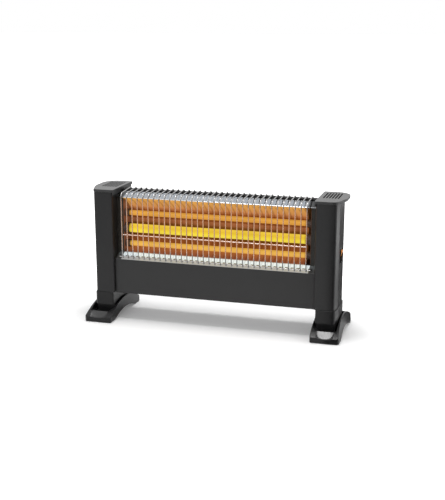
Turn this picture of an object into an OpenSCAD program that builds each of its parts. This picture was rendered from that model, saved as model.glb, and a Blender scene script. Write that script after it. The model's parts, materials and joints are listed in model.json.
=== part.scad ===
// Electric bar heater: three quartz tubes before a polished trough, carried between two
// moulded end towers on arched feet. Millimetres, +Z up, front towards -Y, origin on the
// floor under the middle of the heater. The right side is modelled, the left one mirrored.

/* [Towers] */
// Distance between the outer faces of the two towers
body_span = 564; // [480:2:760]
// Width of one tower
tower_w = 49; // [46:1:60]
// Depth of a tower from front to back
tower_d = 110; // [106:1:124]
// Front face of the towers, measured forward from the middle of the feet
tower_front = 60; // [58:1:64]
// Height of the towers' rim above the floor
tower_top = 300; // [296:1:330]
// Wall of the moulded towers
tower_wall = 2.2; // [1.8:0.1:2.6]
// How far the front face stops short of the outer side
side_step = 4; // [2:0.5:7]
// Depth of the bevel that joins front face and outer side
side_bevel = 24; // [14:1:30]
// Radius of the outer rear corner
tower_rear_r = 28; // [10:1:34]

/* [Top caps] */
// Height of a cap's skirt above the tower's rim
cap_skirt = 6; // [4:0.5:10]
// Height of the deeper skirt on the inner side
cap_inner_skirt = 12; // [9:0.5:18]
// Thickness of a cap's top plate
cap_plate = 2.5; // [2:0.1:3.4]
// Overhang over the tower's front and back
cap_overhang = 2; // [1:0.5:5]
// Overhang over the tower's outer side
cap_bulge = 11; // [4:1:14]
// Overhang over the tower's inner face
cap_inner = 3; // [2:0.25:3]
// Number of cooling slots in a cap
cap_slots = 6; // [3:1:7]
// Width of a cooling slot
cap_slot_w = 3; // [2:0.25:4]
// Length of a cooling slot
cap_slot_length = 62; // [30:1:80]
// Distance from slot to slot
cap_slot_pitch = 6.4; // [5:0.1:6.8]

/* [Feet] */
// Length of a foot from toe to heel
foot_length = 187; // [180:1:220]
// Reach of a foot beyond the tower's outer side
foot_flare = 14; // [12:0.5:20]
// Inward reach of a foot beyond the tower's inner face
foot_inner = 1.5; // [1:0.25:3]
// Height of the rims at the middle of a foot
rim_top = 40; // [38:0.5:44]
// Height of the rims at toe and heel
toe_h = 13; // [11:0.5:15]
// Length of the arch under a foot
arch_length = 127; // [100:1:134]
// Height of the arch under a foot
arch_h = 13.5; // [7:0.5:14]
// Height of the collar that holds the tower
collar_top = 65; // [60:0.5:72]
// Wall of the collar
collar_wall = 1.8; // [1.4:0.1:2.4]
// Wall of the foot's underside
foot_wall = 2.4; // [1.8:0.1:2.6]
// Thickness of the rib along a foot's inner side
rib_wall = 2.5; // [2:0.1:3]
// Gap between that rib and the collar
rib_gap = 3; // [2:0.1:4]
// Diameter of a rubber pad
pad_d = 16; // [10:0.5:18]
// Thickness of a rubber pad
pad_t = 2.6; // [2:0.1:4]
// How far the pads lift the feet off the floor
pad_lift = 0.8; // [0.4:0.1:1.2]

/* [Sheet body] */
// Height of the front panel's lower edge
panel_bottom = 63; // [60:0.5:80]
// Front panel's face behind the towers' front
panel_setback = 8; // [5:0.5:12]
// Back cover's face before the towers' back
cover_setback = 4; // [3:0.5:8]
// Drop of the body's rear top edge below the towers' rim
body_drop = 1; // [1:0.5:8]
// Place of that edge behind the middle of the feet
ridge_y = 14; // [12:0.5:20]
// Height of the sloping part of the back
slope_h = 37; // [30:1:66]
// Painted sheet of panel and cover
sheet_t = 0.8; // [0.6:0.1:1.2]
// Sheet of the end plates
end_sheet_t = 1; // [0.8:0.1:1.4]
// Depth of the end plates' recess beside the towers
recess_w = 15; // [12:0.5:20]
// Face of that recess behind the towers' front
strip_setback = 30; // [26:0.5:34]
// Width of the end plates' flange against the towers
flange_w = 8; // [6.5:0.5:10]
// Number of cooling slots in one row of the back
louvre_columns = 6; // [2:1:8]
// Number of rows of cooling slots in the back
louvre_rows = 9; // [3:1:11]

/* [Reflector] */
// Polished sheet of the reflector
mirror_t = 0.6; // [0.5:0.1:1]
// Front edge of the upper lip, behind the towers' front
lip_setback = 24; // [20:0.5:28]
// Drop of that edge below the body's top
lip_drop = 13.5; // [11:0.5:20]
// Height of the mouth between the lips
mouth_h = 126.5; // [118:0.5:140]
// Depth of the lower lip
sill_d = 30; // [24:0.5:34]
// Rise of the lower lip
sill_rise = 15; // [10:0.5:18]
// Deepest place of the trough behind the middle of the feet
trough_y = 14; // [10:0.5:24]
// Diameter of the air holes in the upper lip
lip_hole_d = 5; // [3:0.5:6]

/* [Guard] */
// Number of upright wires
wire_count = 34; // [20:1:40]
// Diameter of the guard's wires
wire_d = 2.6; // [2:0.1:3]
// Space between the last upright and the end plate
wire_margin = 4.5; // [2:0.5:10]
// Uprights before the front panel's face
wire_standoff = 2; // [1.6:0.1:4]
// Cross wire behind the uprights, below the trough's middle
cross_wire_drop = 20; // [-15:1:40]
// Uprights' front bend below the body's top
wire_bend_drop = 1; // [-1:0.5:4]
// Radius of that bend
wire_bend_r = 8; // [3:0.5:12]

/* [Tubes] */
// Diameter of the upper and lower quartz tube
tube_d = 12; // [10:0.5:14]
// Diameter of the middle quartz tube
middle_tube_d = 20; // [14:0.5:22]
// Wall of the quartz tubes
tube_wall = 1.2; // [0.8:0.1:1.6]
// Middle tube below the trough's middle
tube_drop = 11; // [6:1:14]
// Distance from tube to tube
tube_pitch = 36; // [30:0.5:38]
// Tubes before the middle of the feet
tube_y = 17; // [16:0.5:20]
// Visible length of a ceramic end cap
ceramic_length = 11; // [8:0.5:16]
// Diameter of the terminal pins
pin_d = 4; // [3:0.25:5]
// Turns of a heating coil, as ridges of its outline
coil_turns = 40; // [20:1:50]

/* [Switch] */
// Height of the switch's middle
switch_z = 179; // [120:1:220]
// Switch before the middle of the feet
switch_y = 10; // [2:0.5:14]
// Height of the switch's frame
bezel_h = 32; // [31:0.5:36]
// Width of the switch's frame
bezel_w = 18; // [17.5:0.5:20]
// Thickness of the switch's frame
bezel_t = 2; // [1.4:0.1:3]
// Length of the rocker
rocker_h = 24.4; // [20:0.2:25]
// Width of the rocker
rocker_w = 11; // [8:0.5:11.5]
// Tilt of the rocker to either side
rocker_tilt = 12; // [8:0.5:14]
// Diameter of the rocker's pivot pin
pivot_d = 3; // [2:0.25:3.5]

/* [Tip-over switch] */
// Diameter of the plunger's stem
stem_d = 4; // [3:0.25:5]
// Travel of the plunger
plunger_travel = 4; // [2:0.5:5]

/* [Fits] */
// Clearance of parts that slip together
slip = 0.2; // [0.1:0.05:0.4]
// Radial clearance of a pin that turns or slides in its hole
running = 0.05; // [0.03:0.01:0.08]

/* [Hidden] */
$fn = 48;

// Heights that follow the towers' rim
body_top = tower_top - body_drop;
slope_bottom = body_top - slope_h;
lip_z = body_top - lip_drop;
wire_bend_z = body_top - wire_bend_drop;
panel_top = lip_z - mouth_h - sill_rise;

// Places across the heater, right side
x_out = body_span / 2;
x_in = x_out - tower_w;
x_web = x_in - recess_w;
x_sheet = x_in - end_sheet_t;
x_lip = x_in - cap_inner - 0.5;
x_guard = x_web - wire_margin;

// Places from front to back
y_front = -tower_front;
y_rear = tower_d - tower_front;
y_panel = y_front + panel_setback;
y_cover = y_rear - cover_setback;
y_strip = y_front + strip_setback;
y_lip = y_front + lip_setback;
y_wire = y_panel - wire_standoff;

colour_plastic = [0.17, 0.17, 0.18];
colour_paint = [0.21, 0.21, 0.21];
colour_polish = [0.86, 0.87, 0.88];
colour_steel = [0.62, 0.63, 0.64];
colour_chrome = [0.78, 0.76, 0.76];
colour_rubber = [0.08, 0.08, 0.08];
colour_ceramic = [0.9, 0.87, 0.78];

// ---------------------------------------------------------------- outline functions

function unit(v) = v / norm(v);
function left_normal(a, b) = let (d = unit(b - a)) [-d[1], d[0]];
function miter(n1, n2, t) = t * (n1 + n2) / (1 + n1 * n2);

// An open line of points moved to its left by t
function offset_line(p, t) = [for (i = [0:len(p) - 1])
    i == 0 ? p[0] + t * left_normal(p[0], p[1])
    : i == len(p) - 1 ? p[i] + t * left_normal(p[i - 1], p[i])
    : p[i] + miter(left_normal(p[i - 1], p[i]), left_normal(p[i], p[i + 1]), t)];

// A closed anticlockwise outline drawn in by t
function inset(p, t) = let (n = len(p)) [for (i = [0:n - 1])
    let (before = p[(i + n - 1) % n], after = p[(i + 1) % n])
    p[i] + miter(left_normal(before, p[i]), left_normal(p[i], after), t)];

// One corner rounded with an arc of radius r
function corner(a, b, c, r, steps) = r <= 0 ? [b] :
    let (
        u = unit(a - b),
        v = unit(c - b),
        half = acos(max(-1, min(1, u * v))) / 2,
        centre = b + unit(u + v) * r / sin(half),
        from = b + u * r / tan(half) - centre,
        to = b + v * r / tan(half) - centre,
        start = atan2(from[1], from[0]),
        turn = atan2(from[0] * to[1] - from[1] * to[0], from * to)
    )
    [for (i = [0:steps]) centre + r * [cos(start + turn * i / steps), sin(start + turn * i / steps)]];

// A closed outline with one radius for each corner, larger arcs in more steps
function arc_steps(r) = max(3, min(16, round(sqrt(r) * 2.6)));
function rounded(p, radii) = let (n = len(p)) [for (i = [0:n - 1])
    each corner(p[(i + n - 1) % n], p[i], p[(i + 1) % n], radii[i], arc_steps(radii[i]))];

// An open line with its inner corners rounded by r
function rounded_line(p, r, steps = 4) = [for (i = [0:len(p) - 1])
    each (i == 0 || i == len(p) - 1) ? [p[i]] : corner(p[i - 1], p[i], p[i + 1], r, steps)];

// The section of a sheet of thickness t on the left of a line
function sheet_section(line, t) = let (other = offset_line(line, t))
    concat(line, [for (i = [len(other) - 1:-1:0]) other[i]]);

// Radius of the arc with this rise over this chord
function arc_radius(chord, rise) = (chord * chord / 4 + rise * rise) / (2 * rise);

function mirror_name(side) = side < 0 ? 1 : 0;

// ---------------------------------------------------------------- shared modules

// Children drawn in (y, z) and carried along x
module along_x(x0, x1) {
    translate([x0, 0, 0]) rotate([90, 0, 90]) linear_extrude(x1 - x0) children();
}

// Children drawn in (x, z) and carried along y
module along_y(y0, y1) {
    translate([0, y1, 0]) rotate([90, 0, 0]) linear_extrude(y1 - y0) children();
}

module prism(outline, z0, z1) {
    translate([0, 0, z0]) linear_extrude(z1 - z0) polygon(outline);
}

module rod_x(x0, x1, y, z, d) {
    translate([x0, y, z]) rotate([0, 90, 0]) cylinder(d = d, h = x1 - x0);
}

module rod_y(x, y0, y1, z, d) {
    translate([x, y0, z]) rotate([-90, 0, 0]) cylinder(d = d, h = y1 - y0);
}

module rod_z(x, y, z0, z1, d) {
    translate([x, y, z0]) cylinder(d = d, h = z1 - z0);
}

// The left side is the right side seen in a mirror
module side(s) {
    mirror([mirror_name(s), 0, 0]) children();
}

// A round wire of diameter d along a flat line of points, with one bend radius for each
// inner point. The line lies in the plane of the local x and y axes. A bend is a hair
// thicker than the straight legs, which run a little way into it.
bend_swell = 0.05;
bend_overlap = 0.25;
module bent_wire(line, d, radii) {
    count = len(line);
    legs = [for (i = [1:count - 1]) unit(line[i] - line[i - 1])];
    turns = [for (i = [0:count - 3]) acos(max(-1, min(1, legs[i] * legs[i + 1])))];
    trims = [for (i = [0:count - 3]) radii[i] * tan(turns[i] / 2)];
    for (i = [0:count - 2]) {
        start = line[i] + legs[i] * (i == 0 ? 0 : trims[i - 1] - bend_overlap);
        end = line[i + 1] - legs[i] * (i == count - 2 ? 0 : trims[i] - bend_overlap);
        translate([start[0], start[1], 0])
            rotate([0, 90, atan2(legs[i][1], legs[i][0])])
                cylinder(d = d, h = norm(end - start));
    }
    for (i = [0:count - 3]) {
        r = radii[i];
        way = legs[i][0] * legs[i + 1][1] - legs[i][1] * legs[i + 1][0] > 0 ? 1 : -1;
        heading = atan2(legs[i][1], legs[i][0]);
        begin = line[i + 1] - legs[i] * trims[i];
        centre = begin + way * r * [-legs[i][1], legs[i][0]];
        first = way > 0 ? heading - 90 : heading + 90 - turns[i];
        translate([centre[0], centre[1], 0])
            rotate([0, 0, first])
                rotate_extrude(angle = turns[i]) translate([r, 0]) circle(d = d + bend_swell);
    }
}

// ---------------------------------------------------------------- sheet body

// The lower lip of the reflector starts at the panel's upper edge
sill_front = [y_panel, panel_top];
sill_back = sill_front + [sill_d, sill_rise];
sill_way = unit(sill_back - sill_front);
panel_flange = 14;
panel_lip = 8;
panel_r = 1.2;
cover_r = 1.5;
lip_r = 0.7;
seam = 0.4;

panel_line = [
    sill_front + sill_way * panel_lip,
    sill_front,
    [y_panel, panel_bottom],
    [y_panel + panel_flange, panel_bottom]
];

// The cover's upper edge is turned forward, then down, onto the lip of the reflector
cover_hem = 20;
hem_h = 3;
y_hem = ridge_y - cover_hem;
cover_line = [
    [y_panel + panel_flange + seam, panel_bottom],
    [y_cover, panel_bottom],
    [y_cover, slope_bottom],
    [ridge_y, body_top],
    [y_hem, body_top],
    [y_hem, body_top - hem_h]
];

// The trough is a deep curve whose depth falls off with the third power of the height
// above or below its middle
lip_back_z = body_top - hem_h - mirror_t;
trough_mid = (lip_z + sill_back[1]) / 2;
trough_half = (lip_z - sill_back[1]) / 2;
trough_steps = 20;
function trough_point(i) =
    let (s = 2 * i / trough_steps - 1, edge = s < 0 ? sill_back[0] : y_lip)
    [trough_y - (trough_y - edge) * pow(abs(s), 3), trough_mid + s * trough_half];

lip_seam = 4;
upper_lip_line = concat(
    corner(trough_point(trough_steps - 1), [y_lip, lip_z], [y_hem, lip_back_z], lip_r, 4),
    [[y_hem, lip_back_z], [y_hem + lip_seam, lip_back_z]]
);
reflector_line = concat(
    [sill_front, sill_back],
    [for (i = [1:trough_steps - 1]) trough_point(i)],
    upper_lip_line
);

// What is left inside the sheets: the outline of the end plates
cover_inside = offset_line(cover_line, sheet_t);
function lerp_y(a, b, z) = a[0] + (b[0] - a[0]) * (z - a[1]) / (b[1] - a[1]);
function lerp_z(a, b, y) = a[1] + (b[1] - a[1]) * (y - a[0]) / (b[0] - a[0]);
sill_under = [sill_front, sill_back] + sheet_t * [[sill_way[1], -sill_way[0]], [sill_way[1], -sill_way[0]]];
body_section = [
    [y_panel + sheet_t, panel_bottom + sheet_t],
    [y_cover - sheet_t, panel_bottom + sheet_t],
    cover_inside[2],
    [lerp_y(cover_inside[2], cover_inside[3], lip_back_z), lip_back_z],
    [y_hem, lip_back_z],
    [y_strip, lerp_z([y_lip, lip_z], [y_hem, lip_back_z], y_strip)],
    [y_strip, lerp_z(sill_under[0], sill_under[1], y_strip)],
    [y_panel + sheet_t, lerp_z(sill_under[0], sill_under[1], y_panel + sheet_t)]
];

module front_panel() {
    color(colour_paint) {
        along_x(-x_sheet, x_sheet) polygon(sheet_section(rounded_line(panel_line, panel_r), sheet_t));
    }
}

louvre_l = 44;
louvre_h = 3;
louvre_first_z = panel_bottom + 21;
louvre_step_z = 17;
cover_screw_edge = 15;
cover_screw_z = [
    panel_bottom + cover_screw_edge,
    (panel_bottom + slope_bottom) / 2 - 2.5,
    slope_bottom - cover_screw_edge - 5
];
cover_screw_d = 3.5;
x_cover_screw = x_web + recess_w / 2;

module louvres() {
    for (column = [0:louvre_columns - 1], row = [0:louvre_rows - 1]) {
        pitch = 2 * x_web / louvre_columns;
        x = (column - (louvre_columns - 1) / 2) * pitch;
        z = louvre_first_z + row * louvre_step_z;
        translate([x - louvre_l / 2, y_cover - 2, z]) cube([louvre_l, 4, louvre_h]);
    }
}

slot_y = ridge_y - 5;
guard_pitch = 2 * x_guard / (wire_count - 1);
hem_slot = wire_d + 2 * slip;

module back_cover() {
    color(colour_paint) difference() {
        along_x(-x_lip, x_lip) polygon(sheet_section(rounded_line(cover_line, cover_r), sheet_t));
        louvres();
        for (i = [0:wire_count - 1]) {
            rod_z(-x_guard + i * guard_pitch, slot_y, body_top - 2, body_top + 1, hem_slot);
        }
        for (s = [-1, 1], z = cover_screw_z) {
            rod_y(s * x_cover_screw, y_cover - 2, y_cover + 1, z, cover_screw_d + 2 * slip);
        }
    }
}

// The trough fits between the end plates. The upper lip runs on over them, the lower one up to
// their faces. A row of air holes lies between the guard's wires
module reflector() {
    sill_end = [y_strip, lerp_z(sill_front, sill_back, y_strip)];
    color(colour_polish) difference() {
        union() {
            along_x(-x_web, x_web) polygon(sheet_section(reflector_line, mirror_t));
            along_x(-x_lip, x_lip) polygon(sheet_section([sill_front, sill_end], mirror_t));
            along_x(-x_lip, x_lip) polygon(sheet_section(upper_lip_line, mirror_t));
        }
        for (s = [-1, 1]) side(s) hook_hole();
        for (i = [0:wire_count - 2]) {
            rod_z(-x_guard + (i + 0.5) * guard_pitch, y_hem - lip_hole_d, lip_z, body_top, lip_hole_d);
        }
    }
}

ceramic_wall = 3;
ceramic_neck_d = 9;
ceramic_neck_l = 8;
hook_z = panel_top + 6.5;
hook_x = x_web + recess_w * 0.4;
hook_end_y = y_strip - 2;
cross_wire_y = y_wire + wire_d;
lead_hole_d = 6;
lead_y = -10;
lead_z = 80;
lead_d = 2.4;

middle_tube_z = trough_mid - tube_drop;
cross_wire_z = trough_mid - cross_wire_drop;
tube_heights = [middle_tube_z + tube_pitch, middle_tube_z, middle_tube_z - tube_pitch];
tube_diameters = [tube_d, middle_tube_d, tube_d];

// Four screws hold an end plate to its tower, as [y, z]
tower_screw_d = 3.4;
tower_screw_edge = 18;
tower_screw_places = [
    [y_strip + flange_w / 2, lip_z - tower_screw_edge],
    [y_panel + sheet_t + flange_w / 2, panel_bottom + tower_screw_edge],
    [y_cover - sheet_t - flange_w / 2, slope_bottom - tower_screw_edge],
    [y_cover - sheet_t - flange_w / 2, panel_bottom + tower_screw_edge]
];

// Holes in the lower lip and in the end plates' rims, for the ends of the lower cross wire
module hook_hole() {
    rod_y(hook_x, sill_front[0] + 6, sill_back[0] - 4, hook_z, wire_d + 2 * slip);
}

// A tray pressed from sheet: its web closes the trough, its rim lies on the tower
module end_plate() {
    color(colour_steel) difference() {
        union() {
            along_x(x_web, x_web + end_sheet_t) polygon(body_section);
            along_x(x_web, x_in) difference() {
                polygon(body_section);
                polygon(inset(body_section, end_sheet_t));
            }
            along_x(x_sheet, x_in) difference() {
                polygon(body_section);
                polygon(inset(body_section, flange_w));
            }
        }
        for (z = tube_heights) {
            rod_x(x_web - 1, x_web + end_sheet_t + 1, -tube_y, z, ceramic_neck_d + 2 * slip);
        }
        rod_x(x_web - 1, x_web + end_sheet_t + 1, lead_y, lead_z, lead_hole_d);
        hook_hole();
        for (place = tower_screw_places) {
            rod_x(x_sheet - 1, x_in + 1, place[0], place[1], tower_screw_d + 2 * slip);
        }
        for (z = cover_screw_z) {
            rod_y(x_cover_screw, y_cover - 6, y_cover, z, cover_screw_d + 2 * slip);
        }
        // Room for the top cap's inner skirt
        translate([x_in - cap_inner - slip, y_front, cap_top - cap_inner_skirt - slip])
            cube([cap_inner + 1, tower_d, cap_inner_skirt]);
    }
}

// ---------------------------------------------------------------- guard

upright_foot = 6;
upright_hump = 3.5;
upright_seat = 3;
wire_r = 3;
upright_line = [
    [y_wire + upright_foot, hook_z - wire_d],
    [y_wire, hook_z - wire_d],
    [y_wire, wire_bend_z],
    [slot_y, body_top + upright_hump],
    [slot_y, body_top - upright_seat]
];

module upright() {
    rotate([90, 0, 90]) bent_wire(upright_line, wire_d, [wire_r, wire_bend_r, wire_r]);
}

module guard_uprights() {
    color(colour_chrome) for (i = [0:wire_count - 1]) {
        translate([-x_guard + i * guard_pitch, 0, 0]) upright();
    }
}

// The lower cross wire hooks into the end plates
module guard_cross_wires() {
    color(colour_chrome) {
        rod_x(-x_guard - wire_d / 2, x_guard + wire_d / 2, cross_wire_y, cross_wire_z, wire_d);
        translate([0, 0, hook_z]) bent_wire([
            [-hook_x, hook_end_y],
            [-hook_x, cross_wire_y],
            [hook_x, cross_wire_y],
            [hook_x, hook_end_y]
        ], wire_d, [wire_r, wire_r]);
    }
}

// ---------------------------------------------------------------- tubes

tube_seat = 6;
pin_stub = 6;
tube_end = x_web - ceramic_length + tube_seat;
coil_end = x_web - ceramic_length + 1;
pin_in = coil_end + 0.3;
pin_out = x_in + pin_stub;

module quartz_tube(level) {
    d = tube_diameters[level];
    z = tube_heights[level];
    color([0.95, 0.75, 0.35]) difference() {
        rod_x(-tube_end, tube_end, -tube_y, z, d);
        rod_x(-tube_end - 1, tube_end + 1, -tube_y, z, d - 2 * tube_wall);
    }
}

// The coil's envelope: a sleeve with one ridge for each turn
coil_gap = 0.5;
coil_ridge = 0.8;
coil_sleeve = 1;
module heating_coil(level) {
    outer = tube_diameters[level] / 2 - tube_wall - coil_gap;
    groove = outer - coil_ridge;
    inner = groove - coil_sleeve;
    step = 2 * coil_end / coil_turns;
    crest = [for (i = [0:coil_turns - 1]) each [
        [groove, i * step],
        [outer, (i + 0.5) * step]
    ]];
    color([0.9, 0.45, 0.1])
        translate([-coil_end, -tube_y, tube_heights[level]]) rotate([0, 90, 0])
            rotate_extrude() polygon(concat(
                [[inner, 0]], crest, [[groove, 2 * coil_end], [inner, 2 * coil_end]]
            ));
}

// A stepped insulator: a cup round the tube's end and a neck through the end plate
module ceramic_cap(level) {
    d = tube_diameters[level];
    z = tube_heights[level];
    difference() {
        union() {
            rod_x(x_web - ceramic_length, x_web, -tube_y, z, d + 2 * ceramic_wall);
            rod_x(x_web - 1, x_web + ceramic_neck_l, -tube_y, z, ceramic_neck_d);
        }
        rod_x(x_web - ceramic_length - 1, tube_end + slip, -tube_y, z, d + 2 * slip);
        rod_x(x_web - ceramic_length, x_web + ceramic_neck_l + 1, -tube_y, z, pin_d + 2 * slip);
    }
}

module ceramic_caps(s) {
    color(colour_ceramic) side(s) for (level = [0:2]) ceramic_cap(level);
}

module terminal_pins(s) {
    color(colour_steel) side(s) for (z = tube_heights) {
        rod_x(pin_in, pin_out, -tube_y, z, pin_d);
    }
}

clip_t = 0.8;
clip_w = 3;
module tube_clips() {
    color(colour_steel) for (s = [-1, 1], z = tube_heights) side(s) difference() {
        rod_x(x_web + end_sheet_t, x_web + end_sheet_t + clip_t, -tube_y, z, ceramic_neck_d + 2 * clip_w);
        rod_x(x_web, x_web + end_sheet_t + clip_t + 1, -tube_y, z, ceramic_neck_d + 2 * slip);
    }
}

// ---------------------------------------------------------------- towers

// The foot of a tower is trimmed on the inner side, where it enters the collar
foot_x = x_in - foot_inner;
collar_in_x = foot_x + rib_wall + rib_gap;
trim_x = collar_in_x + collar_wall + slip;
tower_bottom = rim_top + slip;
ledge_z = collar_top + slip;

function tower_outline(inner_x) = [
    [inner_x, y_front],
    [x_out - side_step, y_front],
    [x_out, y_front + side_bevel],
    [x_out, y_rear],
    [inner_x, y_rear]
];
tower_radii = [3, 6, 12, tower_rear_r, 3];

function grown_radii(t) = [for (r = tower_radii) max(0.4, r + t)];

module tower_plan(inner_x, t, z0, z1) {
    prism(rounded(inset(tower_outline(inner_x), -t), grown_radii(t)), z0, z1);
}

boss_d = 9;
boss_h = 18;
foot_screw_d = 4;
foot_screw_x = trim_x + 16;
foot_screw_edge = 25;
foot_screw_places = [[foot_screw_x, y_front + foot_screw_edge], [foot_screw_x, y_rear - foot_screw_edge]];
switch_body_w = 15.6;
switch_body_h = 29;
bushing_x = x_in + 22;
bushing_z = 92;
bushing_d = 12;
bushing_flange = 2.5;
bushing_inner = 5;
cord_hole_d = 7.2;

module tower(with_switch) {
    color(colour_plastic) difference() {
        union() {
            difference() {
                union() {
                    tower_plan(x_in, 0, ledge_z, tower_top);
                    tower_plan(trim_x, 0, tower_bottom, ledge_z + 1);
                }
                tower_plan(x_in, -tower_wall, ledge_z + tower_wall, tower_top + 1);
                tower_plan(trim_x, -tower_wall, tower_bottom + tower_wall, ledge_z + tower_wall + 1);
            }
            for (place = foot_screw_places) {
                rod_z(place[0], place[1], tower_bottom, tower_bottom + boss_h, boss_d);
            }
        }
        along_x(x_in - 1, x_in + tower_wall + 1) polygon(inset(body_section, flange_w + 0.5));
        for (place = tower_screw_places) {
            rod_x(x_in - 1, x_in + tower_wall + 1, place[0], place[1], tower_screw_d + 2 * slip);
        }
        for (place = foot_screw_places) {
            rod_z(place[0], place[1], tower_bottom - 1, tower_bottom + boss_h - 4, foot_screw_d + 2 * slip);
        }
        if (with_switch) {
            translate([x_out - 10, -switch_y - switch_body_w / 2 - slip, switch_z - switch_body_h / 2 - slip])
                cube([20, switch_body_w + 2 * slip, switch_body_h + 2 * slip]);
            rod_y(bushing_x, y_rear - 6, y_rear + 1, bushing_z, bushing_d + 2 * slip);
        }
    }
}

// ---------------------------------------------------------------- top caps

cap_top = tower_top + cap_skirt;
cap_shoulder_y = y_front + side_bevel + 22;
cap_rear_y = y_rear + cap_overhang + 8;
cap_points = [
    [x_in - cap_inner, y_front - cap_overhang],
    [x_out - side_step, y_front - cap_overhang],
    [x_out + cap_bulge, cap_shoulder_y],
    [x_out + cap_bulge, cap_rear_y],
    [x_in - cap_inner, cap_rear_y]
];
cap_radii = [2, 12, 50, 34, 3];
cap_wall = 2;
cap_slot_mid = (y_front + y_rear) / 2 + 16;

module cap_shape(t, z0, z1) {
    prism(rounded(inset(cap_points, t), [for (r = cap_radii) max(0.4, r - t)]), z0, z1);
}

module cap_slots_field() {
    for (i = [0:cap_slots - 1]) {
        x = (x_in + x_out) / 2 + (i - (cap_slots - 1) / 2) * cap_slot_pitch;
        translate([x, cap_slot_mid, 0]) {
            translate([-cap_slot_w / 2, -(cap_slot_length - cap_slot_w) / 2, tower_top])
                cube([cap_slot_w, cap_slot_length - cap_slot_w, cap_skirt + 2]);
            for (end = [-1, 1]) {
                rod_z(0, end * (cap_slot_length - cap_slot_w) / 2, tower_top, cap_top + 2, cap_slot_w);
            }
        }
    }
}

// A skirt all round, deeper on the inner side, and a spigot inside the tower's rim
spigot = 6;
module top_cap() {
    color(colour_plastic) difference() {
        union() {
            cap_shape(0, tower_top, cap_top);
            translate([x_in - cap_inner, y_front - cap_overhang + 2, cap_top - cap_inner_skirt])
                cube([cap_inner - slip, tower_d + cap_overhang, cap_inner_skirt - cap_skirt + 1]);
            tower_plan(x_in, -tower_wall - slip, tower_top - spigot, tower_top + 1);
        }
        difference() {
            cap_shape(cap_wall, tower_top - 1, cap_top - cap_plate);
            tower_plan(x_in, 0, tower_top - 2, cap_top);
        }
        tower_plan(x_in, -tower_wall - slip - cap_wall, tower_top - spigot - 1, cap_top - cap_plate);
        cap_slots_field();
    }
}

// ---------------------------------------------------------------- feet

foot_out_x = x_out + foot_flare;
rim_lean = 6;
rim_w = 3;
rim_out_x = foot_out_x - rim_lean;
basin_out_x = rim_out_x - rim_w;
basin_floor = toe_h;
half_foot = foot_length / 2;
rim_r = arc_radius(foot_length, rim_top - toe_h);
arch_r = arc_radius(arch_length, arch_h - pad_lift);
collar_back = y_rear + slip + collar_wall;
dish_front = -half_foot + 17.5;
dish_step = 7;
inner_slope_w = 23;
inner_slope_z = rim_top - 12;
outer_slope_w = 12;
outer_slope_z = basin_floor + 9;
undercut_top = rim_top - 5;
undercut_back = y_front + 10;
slit_floor = 17;
toe_solid = 12;
scoop_r = 80;
scoop_depth = 2.5;
foot_rib_t = 2;
foot_rib_places = [-18, 6];
pad_edge = 15;
pad_place_y = half_foot - pad_edge;
toe_pad_x = (foot_x + foot_out_x) / 2;
heel_pad_x = foot_x + pad_edge + 1;

foot_points = [
    [foot_x, -half_foot],
    [foot_out_x, -half_foot],
    [foot_out_x, half_foot],
    [foot_x, half_foot]
];
foot_radii = [4, 7, 18, 4];

// Height of a foot's rims at a place between toe and heel
function rim_z(y) = rim_top - rim_r + sqrt(rim_r * rim_r - y * y);

// The rims of a foot follow one long arc from toe to heel
module foot_side(drop) {
    intersection() {
        translate([0, rim_top - rim_r]) circle(r = rim_r - drop, $fn = 360);
        translate([-half_foot, pad_lift]) square([foot_length, rim_top]);
    }
}

module foot_block() {
    intersection() {
        along_x(foot_x - 1, foot_out_x + 1) difference() {
            foot_side(0);
            translate([0, arch_h - arch_r]) circle(r = arch_r, $fn = 360);
        }
        along_y(-half_foot - 1, half_foot + 1) polygon([
            [foot_x, 0], [foot_out_x, 0], [foot_out_x, 5], [rim_out_x, rim_top + 1], [foot_x, rim_top + 1]
        ]);
        prism(rounded(foot_points, foot_radii), 0, rim_top + 1);
    }
}

// The dish of the toe seen from the front: both walls slope down to a narrow floor
module dish_section(top) {
    polygon([
        [foot_x + rib_wall, top],
        [foot_x + rib_wall, inner_slope_z],
        [foot_x + rib_wall + inner_slope_w, basin_floor],
        [basin_out_x - outer_slope_w, basin_floor],
        [basin_out_x, outer_slope_z],
        [basin_out_x, top]
    ]);
}

// The dished toe and the slits that run on beside the collar
module foot_basin() {
    intersection() {
        along_x(foot_x, foot_out_x) polygon([
            [dish_front, rim_top + 2],
            [dish_front, basin_floor + dish_step],
            [dish_front + 4, basin_floor],
            [undercut_back, basin_floor],
            [undercut_back, rim_top + 2]
        ]);
        along_y(dish_front - 1, undercut_back + 1) dish_section(rim_top + 2);
    }
    translate([foot_x + rib_wall, y_front - slip - collar_wall, slit_floor])
        cube([basin_out_x - foot_x - rib_wall, tower_d, rim_top]);
}

// The dish runs on under the collar's front
module collar_undercut() {
    along_y(dish_front, undercut_back) dish_section(undercut_top);
}

// A shallow round bevel between the rims, as steep as they are at the toe
module toe_scoop() {
    slope = atan((rim_z(dish_front) - toe_h) / (dish_front + half_foot));
    translate([toe_pad_x, -half_foot, toe_h - scoop_depth]) rotate([slope, 0, 0])
        rod_y(0, -toe_solid, dish_front + half_foot + toe_solid, scoop_r, 2 * scoop_r);
}

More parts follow.
